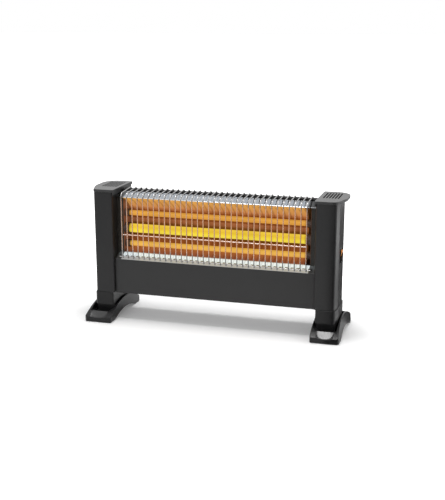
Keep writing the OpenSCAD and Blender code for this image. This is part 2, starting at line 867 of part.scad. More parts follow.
module foot_hollows() {
    low = [
        [foot_x + foot_wall, -half_foot + toe_solid],
        [foot_out_x - foot_wall, -half_foot + toe_solid],
        [foot_out_x - foot_wall, half_foot - foot_wall],
        [foot_x + foot_wall, half_foot - foot_wall]
    ];
    prism(rounded(low, [2, 2, 15, 2]), -1, basin_floor - foot_wall);
    intersection() {
        tower_plan(trim_x, -2, 0, rim_top - foot_wall);
        translate([trim_x, undercut_back + foot_wall, 0]) cube([tower_w, tower_d, rim_top]);
    }
    intersection() {
        along_x(foot_x + foot_wall, rim_out_x - foot_wall) foot_side(foot_wall);
        prism([
            [foot_x + foot_wall, collar_back + foot_wall],
            [foot_out_x, collar_back + foot_wall],
            [foot_out_x, half_foot - foot_wall - 2],
            [foot_x + foot_wall, half_foot - foot_wall - 2]
        ], 0, rim_top);
    }
}

// The tip-over switch hangs under the heel of the right foot
tip_l = 24;
tip_w = 14;
tip_edge = 14;
tip_x = foot_out_x - tip_l / 2 - tip_edge;
tip_y = collar_back + foot_wall + tip_w / 2 + 3;
tip_top = rim_z(tip_y + tip_w / 2) - 2 * foot_wall;
tip_post_d = 5;
tip_post_edge = 1.5;
tip_post_x = tip_l / 2 - tip_post_d / 2 - tip_post_edge;

module pad_boss(x, y, top) {
    rod_z(x, y, pad_lift, top, pad_d + 4);
}

module foot(with_tip_switch) {
    color(colour_plastic) difference() {
        union() {
            difference() {
                union() {
                    difference() {
                        foot_block();
                        foot_basin();
                        toe_scoop();
                    }
                    tower_plan(trim_x, slip + collar_wall, slit_floor - 1, collar_top);
                }
                tower_plan(trim_x, slip, rim_top, collar_top + 1);
                collar_undercut();
                foot_hollows();
            }
            intersection() {
                union() {
                    pad_boss(toe_pad_x, -pad_place_y, basin_floor);
                    pad_boss(heel_pad_x, pad_place_y, rim_top);
                    for (y = foot_rib_places) {
                        translate([trim_x, y - foot_rib_t / 2, 0]) cube([x_out - trim_x, foot_rib_t, rim_top]);
                    }
                }
                foot_block();
            }
            if (with_tip_switch) {
                for (s = [-1, 1]) {
                    rod_z(tip_x + s * tip_post_x, tip_y, tip_top, rim_z(tip_y) - foot_wall / 2, tip_post_d);
                }
            }
        }
        rod_z(toe_pad_x, -pad_place_y, -1, pad_t, pad_d + 2 * slip);
        rod_z(heel_pad_x, pad_place_y, -1, pad_t, pad_d + 2 * slip);
        for (place = foot_screw_places) {
            rod_z(place[0], place[1], rim_top - foot_wall - 1, rim_top + 1, foot_screw_d + 2 * slip);
        }
    }
}

module foot_pads() {
    color(colour_rubber) for (s = [-1, 1]) side(s) {
        rod_z(toe_pad_x, -pad_place_y, 0, pad_t, pad_d);
        rod_z(heel_pad_x, pad_place_y, 0, pad_t, pad_d);
    }
}

// ---------------------------------------------------------------- rocker switch

pivot_x = x_out - 1;
switch_depth = 20;
rocker_room = 0.5;
rocker_end_room = 1.7;
well_h = rocker_h + 2 * rocker_end_room;
well_w = rocker_w + 2 * rocker_room;
well_depth = 14;

module switch_housing() {
    color([0.06, 0.06, 0.06]) translate([0, -switch_y, switch_z]) difference() {
        union() {
            along_x(x_out, x_out + bezel_t) polygon(rounded([
                [-bezel_w / 2, -bezel_h / 2], [bezel_w / 2, -bezel_h / 2],
                [bezel_w / 2, bezel_h / 2], [-bezel_w / 2, bezel_h / 2]
            ], [2, 2, 2, 2]));
            translate([x_out - switch_depth, -switch_body_w / 2, -switch_body_h / 2])
                cube([switch_depth + 1, switch_body_w, switch_body_h]);
        }
        translate([x_out + bezel_t - well_depth, -well_w / 2, -well_h / 2])
            cube([well_depth + 1, well_w, well_h]);
        rod_y(pivot_x, -bezel_w, bezel_w, 0, pivot_d + 2 * running);
    }
}

// Two shallow faces that meet at the pivot; drawn level, then tilted into the rest position
module switch_rocker() {
    crown = 1.5;
    tip = 3.2;
    tip_t = 3.6;
    keel = 5;
    keel_half = 4;
    half = rocker_h / 2;
    color([0.95, 0.55, 0.12])
        translate([pivot_x, -switch_y, switch_z]) rotate([0, rocker_tilt, 0]) {
            along_y(-rocker_w / 2, rocker_w / 2) polygon([
                [crown, 0], [tip, half], [tip - tip_t, half], [-keel, keel_half],
                [-keel, -keel_half], [tip - tip_t, -half], [tip, -half]
            ]);
            rod_y(0, -switch_body_w / 2, switch_body_w / 2, 0, pivot_d);
        }
}

blade_length = 8;
blade_x = x_out - switch_depth - blade_length;
blade_pitch = 8;
blade_w = 4.8;
blade_t = 0.8;
module switch_terminals() {
    color(colour_steel) for (blade = [-1, 0, 1]) {
        translate([blade_x, -switch_y - blade_w / 2, switch_z + blade * blade_pitch - blade_t / 2])
            cube([blade_length, blade_w, blade_t]);
    }
}

// ---------------------------------------------------------------- tip-over switch

stem_guide = 2;
tip_floor = 4;
plunger_head = 2;
plunger_head_d = stem_d + 4;
tip_bore_d = plunger_head_d + 0.6;
tip_roof = 1.6;

module tip_switch_housing() {
    color([0.1, 0.1, 0.1]) difference() {
        translate([tip_x - tip_l / 2, tip_y - tip_w / 2, tip_floor])
            cube([tip_l, tip_w, tip_top - tip_floor]);
        rod_z(tip_x, tip_y, tip_floor - 1, tip_top, stem_d + 2 * running);
        rod_z(tip_x, tip_y, tip_floor + stem_guide, tip_top - tip_roof, tip_bore_d);
    }
}

head_z = tip_floor + stem_guide + plunger_travel;
module tip_plunger() {
    color([0.85, 0.85, 0.82]) {
        rod_z(tip_x, tip_y, 0, head_z + 0.5, stem_d);
        rod_z(tip_x, tip_y, head_z, head_z + plunger_head, plunger_head_d);
    }
}

module tip_spring() {
    turns = 4;
    sleeve = 0.8;
    ridge = 0.5;
    inner = stem_d / 2;
    low = head_z + plunger_head;
    high = tip_top - tip_roof;
    step = (high - low) / turns;
    color(colour_steel) translate([tip_x, tip_y, low]) rotate_extrude() polygon(concat(
        [[inner, 0]],
        [for (i = [0:turns - 1]) each [
            [inner + sleeve, i * step],
            [inner + sleeve + ridge, (i + 0.5) * step]
        ]],
        [[inner + sleeve, high - low], [inner, high - low]]
    ));
}

// ---------------------------------------------------------------- inside the towers

cutout_y = 20;
cutout_z = tube_heights[0];
cutout_base_d = 16;
cutout_base_t = 3;
cutout_body_d = 12;
cutout_body_t = 8;
module thermal_cutout() {
    seat = x_web + end_sheet_t;
    color([0.75, 0.73, 0.68]) {
        rod_x(seat, seat + cutout_base_t, cutout_y, cutout_z, cutout_base_d);
        rod_x(seat + cutout_base_t / 2, seat + cutout_body_t, cutout_y, cutout_z, cutout_body_d);
        for (s = [-1, 1]) {
            translate([
                seat + cutout_body_t - 1,
                cutout_y + s * cutout_body_d / 4 - blade_t / 2,
                cutout_z - blade_w / 2
            ]) cube([blade_length, blade_t, blade_w]);
        }
    }
}

block_z0 = tower_bottom + tower_wall;
block_h = 18;
block_z1 = block_z0 + block_h;
block_x = trim_x + 3;
block_l = 26;
block_w = 22;
block_hole_d = 3;
block_hole_depth = 6;
block_hole_pitch = 5.4;
module terminal_blocks() {
    color(colour_ceramic) for (s = [-1, 1]) side(s) difference() {
        translate([block_x, -tube_y - block_w / 2, block_z0]) cube([block_l, block_w, block_h]);
        for (i = [-1.5:1.5]) {
            rod_z(block_x + block_l / 2 + i * block_hole_pitch, -tube_y - block_w / 3,
                block_z1 - block_hole_depth, block_z1 + 1, block_hole_d);
        }
    }
}

// A lead runs out from a pin, bends down and stops on the terminal block
lead_gap = 0.6;
lead_bend_r = 4;
lead_reach = 13;
blade_lead_reach = 5;
function drop_x(level) = pin_out + lead_reach - level * (lead_d + lead_gap + 1);
module lead_down(x, z) {
    translate([0, -tube_y, 0]) rotate([90, 0, 0])
        bent_wire([[pin_out, z], [x, z], [x, block_z1]], lead_d, [lead_bend_r]);
}

module right_leads() {
    color([0.75, 0.72, 0.66]) {
        for (level = [0:2]) lead_down(drop_x(level), tube_heights[level]);
        for (lead = [0, 1]) {
            z = switch_z + lead * blade_pitch;
            translate([0, -switch_y - 0.8 + lead * (lead_d + lead_gap), 0]) rotate([90, 0, 0])
                bent_wire([
                    [blade_x, z],
                    [blade_x - blade_lead_reach, z],
                    [blade_x - blade_lead_reach, block_z1]
                ], lead_d, [lead_bend_r]);
        }
    }
}

// The left ends of the tubes are joined, and one lead returns through the base
module left_leads() {
    return_x = block_x + lead_d / 2 + lead_gap;
    color([0.75, 0.72, 0.66]) {
        mirror([1, 0, 0]) for (level = [0:2]) lead_down(drop_x(level), tube_heights[level]);
        translate([0, lead_y, 0]) rotate([90, 0, 0]) bent_wire([
            [-return_x, block_z1], [-return_x, lead_z], [return_x, lead_z], [return_x, block_z1]
        ], lead_d, [lead_bend_r, lead_bend_r]);
    }
}

module cord_bushing() {
    color(colour_rubber) difference() {
        union() {
            rod_y(bushing_x, y_rear - tower_wall - bushing_inner, y_rear + 1, bushing_z, bushing_d);
            rod_y(bushing_x, y_rear, y_rear + bushing_flange, bushing_z, bushing_d + 2 * bushing_flange);
        }
        rod_y(bushing_x, y_rear - switch_depth, y_rear + switch_depth, bushing_z, cord_hole_d);
    }
}

// ---------------------------------------------------------------- screws

screw_head_h = 2;
cross_length = 1.2;
cross_width = 0.3;
cross_depth = 1.2;
cover_screw_l = 8;
tower_screw_l = 4;
foot_screw_l = 12;

// A cross-recessed screw along z: its head stands on z = 0, its shank runs down from there.
// The recess's length and width are shares of the shank's diameter
module screw(d, length) {
    difference() {
        union() {
            translate([0, 0, -length]) cylinder(d = d, h = length + screw_head_h / 2);
            cylinder(d = 2 * d, h = screw_head_h);
        }
        for (arm = [[cross_length, cross_width], [cross_width, cross_length]]) {
            translate([-arm[0] * d / 2, -arm[1] * d / 2, screw_head_h - cross_depth])
                cube([arm[0] * d, arm[1] * d, screw_head_h]);
        }
    }
}

module back_cover_screws() {
    color(colour_steel) for (s = [-1, 1], z = cover_screw_z) {
        translate([s * x_cover_screw, y_cover, z]) rotate([-90, 0, 0]) screw(cover_screw_d, cover_screw_l);
    }
}

module tower_screws() {
    grip = tower_wall + end_sheet_t + tower_screw_l;
    color(colour_steel) for (s = [-1, 1], place = tower_screw_places) side(s) {
        translate([x_in + tower_wall, place[0], place[1]]) rotate([0, 90, 0]) screw(tower_screw_d, grip);
    }
}

module foot_screws() {
    under = rim_top - foot_wall;
    grip = tower_bottom + foot_screw_l - under;
    color(colour_steel) for (s = [-1, 1], place = foot_screw_places) side(s) {
        translate([place[0], place[1], under]) rotate([180, 0, 0]) screw(foot_screw_d, grip);
    }
}

front_panel();
back_cover();
reflector();
side(-1) end_plate();  // left_end_plate
end_plate();  // right_end_plate
guard_uprights();
guard_cross_wires();
quartz_tube(0);  // upper_quartz_tube
quartz_tube(1);  // middle_quartz_tube
quartz_tube(2);  // lower_quartz_tube
heating_coil(0);  // upper_heating_coil
heating_coil(1);  // middle_heating_coil
heating_coil(2);  // lower_heating_coil
ceramic_caps(-1);  // left_ceramic_caps
ceramic_caps(1);  // right_ceramic_caps
terminal_pins(-1);  // left_terminal_pins
terminal_pins(1);  // right_terminal_pins
tube_clips();
side(-1) tower(false);  // left_tower
tower(true);  // right_tower
side(-1) top_cap();  // left_top_cap
top_cap();  // right_top_cap
side(-1) foot(false);  // left_foot
foot(true);  // right_foot
foot_pads();
switch_housing();
switch_rocker();
switch_terminals();
tip_switch_housing();
tip_plunger();
tip_spring();
thermal_cutout();
terminal_blocks();
left_leads();
right_leads();
cord_bushing();
back_cover_screws();
tower_screws();
foot_screws();
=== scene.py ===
"""Looks of a free-standing electric bar heater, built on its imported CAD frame.

The heater's solids come from the frame and keep their places. This script gives each of them its
finish, and adds what is too fine for the solids: wound heating coils, softened edges on the
mouldings, polished wedges in the toes' hollows, and pressed hoods over the cooling slots. Then it
sets the heater in a plain studio. Sizes are in metres and angles in degrees.
"""

from __future__ import annotations

import json
import logging
import math
from dataclasses import dataclass
from enum import Enum

import bmesh
import bpy
import numpy as np
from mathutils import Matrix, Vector


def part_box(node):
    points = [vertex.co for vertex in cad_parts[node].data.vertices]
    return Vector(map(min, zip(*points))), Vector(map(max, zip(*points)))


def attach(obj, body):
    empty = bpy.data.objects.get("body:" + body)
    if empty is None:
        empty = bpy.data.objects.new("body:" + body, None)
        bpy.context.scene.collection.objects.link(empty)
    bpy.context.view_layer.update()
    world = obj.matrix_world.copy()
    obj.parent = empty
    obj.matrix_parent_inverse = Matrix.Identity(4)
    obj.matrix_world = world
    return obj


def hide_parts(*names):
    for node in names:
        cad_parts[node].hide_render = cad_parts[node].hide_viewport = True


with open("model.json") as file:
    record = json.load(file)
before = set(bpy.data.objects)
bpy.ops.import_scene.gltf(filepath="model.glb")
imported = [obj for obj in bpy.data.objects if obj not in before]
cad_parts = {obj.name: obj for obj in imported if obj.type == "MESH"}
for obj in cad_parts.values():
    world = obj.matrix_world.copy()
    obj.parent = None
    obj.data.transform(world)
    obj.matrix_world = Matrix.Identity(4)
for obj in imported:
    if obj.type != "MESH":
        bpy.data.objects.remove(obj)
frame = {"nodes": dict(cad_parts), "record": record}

log = logging.getLogger("bar_heater")

Point = tuple[float, float, float]
Colour = tuple[float, float, float]
Range = tuple[float, float]
Socket = bpy.types.NodeSocket
Value = Socket | float | Colour


class Body(Enum):
    """The bodies that pieces ride on."""

    HEATER = "heater"
    ROCKER = "rocker"
    PLUNGER = "plunger"


class Side(Enum):
    """The heater's two sides, seen from the front."""

    LEFT = "left"
    RIGHT = "right"


class Level(Enum):
    """The three quartz tubes, from the top down."""

    UPPER = "upper"
    MIDDLE = "middle"
    LOWER = "lower"


class Slot(Enum):
    """The record's material slots."""

    PAINT = "paint"
    POLISHED_SHEET = "polished_sheet"
    ZINC_SHEET = "zinc_sheet"
    CHROME_WIRE = "chrome_wire"
    ORANGE_QUARTZ = "orange_quartz"
    YELLOW_QUARTZ = "yellow_quartz"
    HOT_COIL = "hot_coil"
    CERAMIC = "ceramic"
    STEEL = "steel"
    PLASTIC = "plastic"
    RUBBER = "rubber"
    SWITCH_BLACK = "switch_black"
    AMBER_PLASTIC = "amber_plastic"
    WHITE_PLASTIC = "white_plastic"
    BRASS = "brass"
    SLEEVE = "glass_fibre_sleeve"


# Points of a node's mesh that lie closer than this are one point
MERGE = 0.000002

# Heights of the trough's two edges
SILL_BACK = 0.159
LIP_FRONT = 0.2855

# The guard's uprights
WIRE_COUNT = 34
WIRE_RADIUS = 0.0013

# The ranges in which nearly all values of a cloudy and of a streaky noise lie
CLOUDS = (0.3, 0.7)
STREAKS = (0.2, 0.8)

# What a share runs through where it fades out
DOWN = (1.0, 0.0)


def body_of(node: str) -> Body:
    """The body that a node of the frame belongs to."""
    bodies = frame["record"]["behaviour"]["bodies"]
    return next(Body(body) for body, nodes in bodies.items() if node in nodes)


def slot_of(node: str) -> Slot:
    """The material slot that the record gives a node."""
    parts = frame["record"]["subparts"]
    return next(Slot(part["material_slot"]) for part in parts if part["node"] == node)


# ------------------------------------------------------------------ surfaces


def grid_faces(rows: int, columns: int, wrap_rows: bool, wrap_columns: bool) -> np.ndarray:
    """Quads that join the points of a grid.

    Args:
        rows: Number of points along the first parameter.
        columns: Number of points along the second parameter.
        wrap_rows: Whether the last row joins the first.
        wrap_columns: Whether the last column joins the first.

    Returns:
        An array of four point numbers for each face.
    """
    i = np.arange(rows if wrap_rows else rows - 1)
    j = np.arange(columns if wrap_columns else columns - 1)
    i, j = np.meshgrid(i, j, indexing="ij")
    i2, j2 = (i + 1) % rows, (j + 1) % columns
    corners = [i * columns + j, i * columns + j2, i2 * columns + j2, i2 * columns + j]
    return np.stack([c.ravel() for c in corners], axis=1)


def make_piece(
    name: str, points: np.ndarray, faces: list[np.ndarray], smooth: bool = True
) -> bpy.types.Object:
    """A mesh object at the origin, with its place in its points.

    Args:
        name: The piece's name.
        points: Its points, one row each.
        faces: Arrays of point numbers, one row for each face.
        smooth: Whether the faces are shaded smoothly.

    Returns:
        The new object, linked to the scene.
    """
    mesh = bpy.data.meshes.new(name)
    mesh.from_pydata(points.tolist(), [], [face for block in faces for face in block.tolist()])
    mesh.polygons.foreach_set("use_smooth", np.full(len(mesh.polygons), smooth))
    mesh.validate()
    mesh.update()
    piece = bpy.data.objects.new(name, mesh)
    bpy.context.scene.collection.objects.link(piece)
    return piece


def ring_of(count: int) -> tuple[np.ndarray, np.ndarray]:
    """Cosines and sines of that many equal steps round a circle."""
    angle = np.linspace(0.0, 2.0 * math.pi, count, endpoint=False)
    return np.cos(angle), np.sin(angle)


# A direction that no turn of a coil runs along
REFERENCE = (0.94, 0.27, 0.21)


def tube_along(
    path: np.ndarray, radius: float, sides: int
) -> tuple[np.ndarray, list[np.ndarray]]:
    """A round rod whose centre line is a path of points.

    At each point the circle lies across the path's direction, turned by the frame that a fixed
    reference gives: across = direction x reference, up = across x direction. A point of the rod
    is path + radius (cos a across + sin a up), with the angle a running once round.

    Args:
        path: The centre line's points, one row each.
        radius: Radius of the rod.
        sides: Points round the rod.

    Returns:
        The points and the faces, both ends closed.
    """
    direction = np.gradient(path, axis=0)
    direction /= np.linalg.norm(direction, axis=1, keepdims=True)
    across = np.cross(direction, np.array(REFERENCE))
    across /= np.linalg.norm(across, axis=1, keepdims=True)
    up = np.cross(across, direction)
    cos, sin = ring_of(sides)
    points = (
        path[:, None, :]
        + radius * cos[None, :, None] * across[:, None, :]
        + radius * sin[None, :, None] * up[:, None, :]
    ).reshape(-1, 3)
    last = (len(path) - 1) * sides
    caps = [np.arange(sides)[None, ::-1], (last + np.arange(sides))[None, :]]
    return points, [grid_faces(len(path), sides, False, True)] + caps


# ------------------------------------------------------------------ finishes


# The principled shader's sockets, by the short names that the finishes use
SOCKETS = {
    "base": "Base Color",
    "metallic": "Metallic",
    "roughness": "Roughness",
    "ior": "IOR",
    "specular": "Specular IOR Level",
    "normal": "Normal",
    "coat": "Coat Weight",
    "coat_roughness": "Coat Roughness",
    "transmission": "Transmission Weight",
    "emission": "Emission Color",
    "strength": "Emission Strength",
    "sheen": "Sheen Weight",
}


def scaled(colour: Colour, factor: float) -> Colour:
    """A colour made darker or lighter by a factor, and held at white."""
    return tuple(min(1.0, part * factor) for part in colour)


def beside(place: float, edge: Range) -> Range:
    """A range on an axis, from its two ends as measured from a place on it."""
    return place + edge[0], place + edge[1]


class Nodes:
    """A material's node tree, with short methods for the nodes that the finishes share."""

    def __init__(self, name: str) -> None:
        """Starts a material with one principled shader.

        Args:
            name: The material's name.
        """
        self.material = bpy.data.materials.new(name)
        self.material.use_nodes = True
        self.tree = self.material.node_tree
        self.tree.nodes.clear()
        self.output = self.tree.nodes.new("ShaderNodeOutputMaterial")
        self.shader = self.tree.nodes.new("ShaderNodeBsdfPrincipled")
        self.link(self.shader.outputs[0], self.output.inputs["Surface"])
        self._coords: Socket | None = None

    def add(self, kind: str, **settings: object) -> bpy.types.Node:
        """A new node with some of its properties set.

        Args:
            kind: The node's type.
            **settings: Its properties.

        Returns:
            The node.
        """
        node = self.tree.nodes.new(kind)
        for key, value in settings.items():
            setattr(node, key, value)
        return node

    def link(self, start: Socket, end: Socket) -> None:
        """Joins two sockets."""
        self.tree.links.new(start, end)

    def feed(self, socket: Socket, value: Value) -> None:
        """Sets a socket to a number or colour, or links it to another socket.

        Args:
            socket: The socket to feed.
            value: What it gets.
        """
        if isinstance(value, Socket):
            self.link(value, socket)
        elif isinstance(value, tuple) and len(value) == 3 and socket.type == "RGBA":
            socket.default_value = (*value, 1.0)
        else:
            socket.default_value = value

    def coords(self) -> Socket:
        """The object's own coordinates, from one node that all patterns share.

        Returns:
            The socket that gives them.
        """
        if self._coords is None:
            self._coords = self.add("ShaderNodeTexCoord").outputs["Object"]
        return self._coords

    def stretched(self, scale: Point) -> Socket:
        """The object's own coordinates, each multiplied by a factor.

        Args:
            scale: The factor along each axis.

        Returns:
            The socket that gives them.
        """
        mapping = self.add("ShaderNodeMapping")
        self.link(self.coords(), mapping.inputs["Vector"])
        mapping.inputs["Scale"].default_value = scale
        return mapping.outputs["Vector"]

    def axis(self, name: str) -> Socket:
        """One of the object's own coordinates.

        Args:
            name: X, Y or Z.

        Returns:
            The socket that gives it.
        """
        split = self.add("ShaderNodeSeparateXYZ")
        self.link(self.coords(), split.inputs[0])
        return split.outputs[name]

    def off_middle(self) -> Socket:
        """Distance from the plane that halves the heater into left and right."""
        return self.math("ABSOLUTE", self.axis("X"))

    def noise(
        self, scale: float, detail: float = 3.0, stretch: Point = (1.0, 1.0, 1.0)
    ) -> Socket:
        """Cloudy noise from 0 to 1.

        Args:
            scale: Cycles in a metre.
            detail: How many finer layers it holds.
            stretch: Factor on the cycles along each axis.

        Returns:
            The socket that gives it.
        """
        node = self.add("ShaderNodeTexNoise")
        self.link(self.stretched(stretch), node.inputs["Vector"])
        node.inputs["Scale"].default_value = scale
        node.inputs["Detail"].default_value = detail
        return node.outputs["Fac"]

    def math(self, operation: str, a: Value, b: Value = 0.0) -> Socket:
        """The result of one operation on two values.

        Args:
            operation: The operation's name.
            a: The first value.
            b: The second value.

        Returns:
            The socket that gives it.
        """
        node = self.add("ShaderNodeMath", operation=operation)
        self.feed(node.inputs[0], a)
        self.feed(node.inputs[1], b)
        return node.outputs[0]

    def product(self, first: Value, *others: Value) -> Socket:
        """Several values multiplied.

        Args:
            first: The first value.
            *others: The others.

        Returns:
            The socket that gives the product.
        """
        result = first
        for value in others:
            result = self.math("MULTIPLY", result, value)
        return result

    def ripple(self, phase: Socket) -> Socket:
        """|sin(phase)|, which is a row of humps from 0 to 1."""
        return self.math("ABSOLUTE", self.math("SINE", phase))

    def spread(
        self, value: Socket, low: float, high: float, out: Range = (0.0, 1.0), smooth: bool = False
    ) -> Socket:
        """A value's range from low to high, mapped on to another range and held there.

        Args:
            value: The value.
            low: Where its range starts.
            high: Where its range ends.
            out: What start and end become.
            smooth: Whether both ends ease in.

        Returns:
            The socket that gives the mapped value.
        """
        kind = "SMOOTHSTEP" if smooth else "LINEAR"
        node = self.add("ShaderNodeMapRange", interpolation_type=kind)
        self.link(value, node.inputs["Value"])
        for key, number in zip(("From Min", "From Max", "To Min", "To Max"), (low, high, *out)):
            node.inputs[key].default_value = number
        return node.outputs["Result"]

    def band(self, value: Socket, rise: Range, fall: Range, least: float = 0.0) -> Socket:
        """A share that eases up to 1 over one range of a value and down again over a later one.

        Args:
            value: The value.
            rise: Where the share grows.
            fall: Where it goes down again.
            least: The share outside both.

        Returns:
            The socket that gives the share.
        """
        up = self.spread(value, *rise, (least, 1.0), smooth=True)
        return self.product(up, self.spread(value, *fall, (1.0, least), smooth=True))

    def mix(self, share: Value, first: Value, second: Value) -> Socket:
        """A colour between two colours.

        Args:
            share: The second colour's share.
            first: The first colour.
            second: The second colour.

        Returns:
            The socket that gives the colour.
        """
        node = self.add("ShaderNodeMix", data_type="RGBA")
        # The node's colour sockets come after those for numbers and vectors
        for number, value in zip((0, 6, 7), (share, first, second)):
            self.feed(node.inputs[number], value)
        return node.outputs[2]

    def shaded(self, share: Socket, colour: Colour, shades: Range) -> Socket:
        """A colour between two shades of one colour, each given as a factor on it."""
        return self.mix(share, *(scaled(colour, shade) for shade in shades))

    def ramp(self, value: Socket, stops: tuple[tuple[float, Colour], ...]) -> Socket:
        """A colour that runs through stops.

        Args:
            value: The value that moves along the ramp.
            stops: Places from 0 to 1, each with its colour.

        Returns:
            The socket that gives the colour.
        """
        node = self.add("ShaderNodeValToRGB")
        self.link(value, node.inputs[0])
        band = node.color_ramp
        while len(band.elements) < len(stops):
            band.elements.new(0.5)
        for element, (place, colour) in zip(band.elements, stops):
            element.position = place
            element.color = (*colour, 1.0)
        return node.outputs[0]

    def bump(self, height: Socket, depth: float, before: Socket | None = None) -> Socket:
        """A normal bent by a height pattern.

        Args:
            height: The pattern, where 1 is its full height.
            depth: The full height in metres.
            before: An earlier normal that it bends further.

        Returns:
            The socket that gives the normal.
        """
        node = self.add("ShaderNodeBump")
        node.inputs["Distance"].default_value = depth
        self.link(height, node.inputs["Height"])
        if before is not None:
            self.link(before, node.inputs["Normal"])
        return node.outputs[0]

    def set(self, **values: Value) -> None:
        """Feeds sockets of the principled shader, by their short names."""
        for key, value in values.items():
            self.feed(self.shader.inputs[SOCKETS[key]], value)


@dataclass(frozen=True)
class Finish:
    """A named finish, whose kinds lay out the nodes of one material."""

    name: str

    def make(self) -> bpy.types.Material:
        """Builds the material.

        Returns:
            The material.
        """
        n = Nodes(self.name)
        self.lay(n)
        return n.material

    def lay(self, n: Nodes) -> None:
        """Lays out the material's nodes, each kind of finish in its own way."""
        raise NotImplementedError


@dataclass(frozen=True)
class MouldedPlastic(Finish):
    """Black moulded plastic with a fine eroded grain and faint cloudiness.

    A flat moulding bulges a little. Its crown is a height of -crown (|x| - middle)^2, with middle
    the distance of the moulding's own middle from the heater's.
    """

    colour: Colour
    roughness: float
    specular: float
    middle: float = 0.0
    crown: float = 0.0
    cloud_scale: float = 11.0
    shades: Range = (0.86, 1.16)
    uneven: float = 0.03
    grain_scale: float = 2600.0
    grain_depth: float = 0.00004

    def lay(self, n: Nodes) -> None:
        """Lays crown and grain as bump, and clouds in colour and roughness.

        Args:
            n: The material's nodes.
        """
        clouds = n.noise(self.cloud_scale, 4.0)
        rough = (self.roughness - self.uneven, self.roughness + self.uneven)
        n.set(base=n.shaded(clouds, self.colour, self.shades), specular=self.specular)
        n.set(roughness=n.spread(clouds, *CLOUDS, rough))
        bent = None
        if self.crown:
            off = n.math("SUBTRACT", n.off_middle(), self.middle)
            bent = n.bump(n.product(off, off, -self.crown), 1.0)
        n.set(normal=n.bump(n.noise(self.grain_scale, 2.0), self.grain_depth, bent))


@dataclass(frozen=True)
class PowderCoat(Finish):
    """Dark powder-coated sheet with a slight orange peel."""

    colour: Colour = (0.0155, 0.0155, 0.016)
    roughness: float = 0.4
    specular: float = 0.45
    cloud_scale: float = 9.0
    shades: Range = (0.9, 1.12)
    peel_scale: float = 420.0
    peel_depth: float = 0.00005
    speck_scale: float = 1900.0
    speck_depth: float = 0.00001
    uneven: Range = (-0.05, 0.06)

    def lay(self, n: Nodes) -> None:
        """Lays two sizes of orange peel as bump, and specks in the roughness.

        Args:
            n: The material's nodes.
        """
        clouds = n.noise(self.cloud_scale, 4.0)
        speck = n.noise(self.speck_scale, 2.0)
        rough = beside(self.roughness, self.uneven)
        n.set(base=n.shaded(clouds, self.colour, self.shades), specular=self.specular)
        n.set(roughness=n.spread(speck, *CLOUDS, rough))
        peel = n.bump(n.noise(self.peel_scale, 2.0), self.peel_depth)
        n.set(normal=n.bump(speck, self.speck_depth, peel))


# Painted reflection of the bars in the trough, from its lower edge at 0 to its upper edge at 1:
# bright where the sheet would mirror a bar, dim between. The stops follow colours read off the
# photograph, thinned and rounded
PAINTED_REFLECTION_STOPS = (
    # Band at the foot
    (0.0, (0.25, 0.08, 0.035)),
    (0.06, (0.36, 0.12, 0.03)),
    (0.13, (0.24, 0.065, 0.012)),
    (0.23, (0.2, 0.055, 0.018)),
    # Dim stretch
    (0.26, (0.12, 0.038, 0.004)),
    (0.47, (0.15, 0.05, 0.009)),
    # Narrow band at the middle
    (0.5, (0.27, 0.095, 0.038)),
    (0.55, (0.31, 0.11, 0.045)),
    # Dim stretch
    (0.57, (0.2, 0.055, 0.012)),
    (0.6, (0.16, 0.036, 0.005)),
    (0.72, (0.24, 0.062, 0.013)),
    # Broad band up to the lip
    (0.79, (0.61, 0.25, 0.082)),
    (0.81, (0.66, 0.29, 0.082)),
    (1.0, (0.71, 0.4, 0.09)),
)


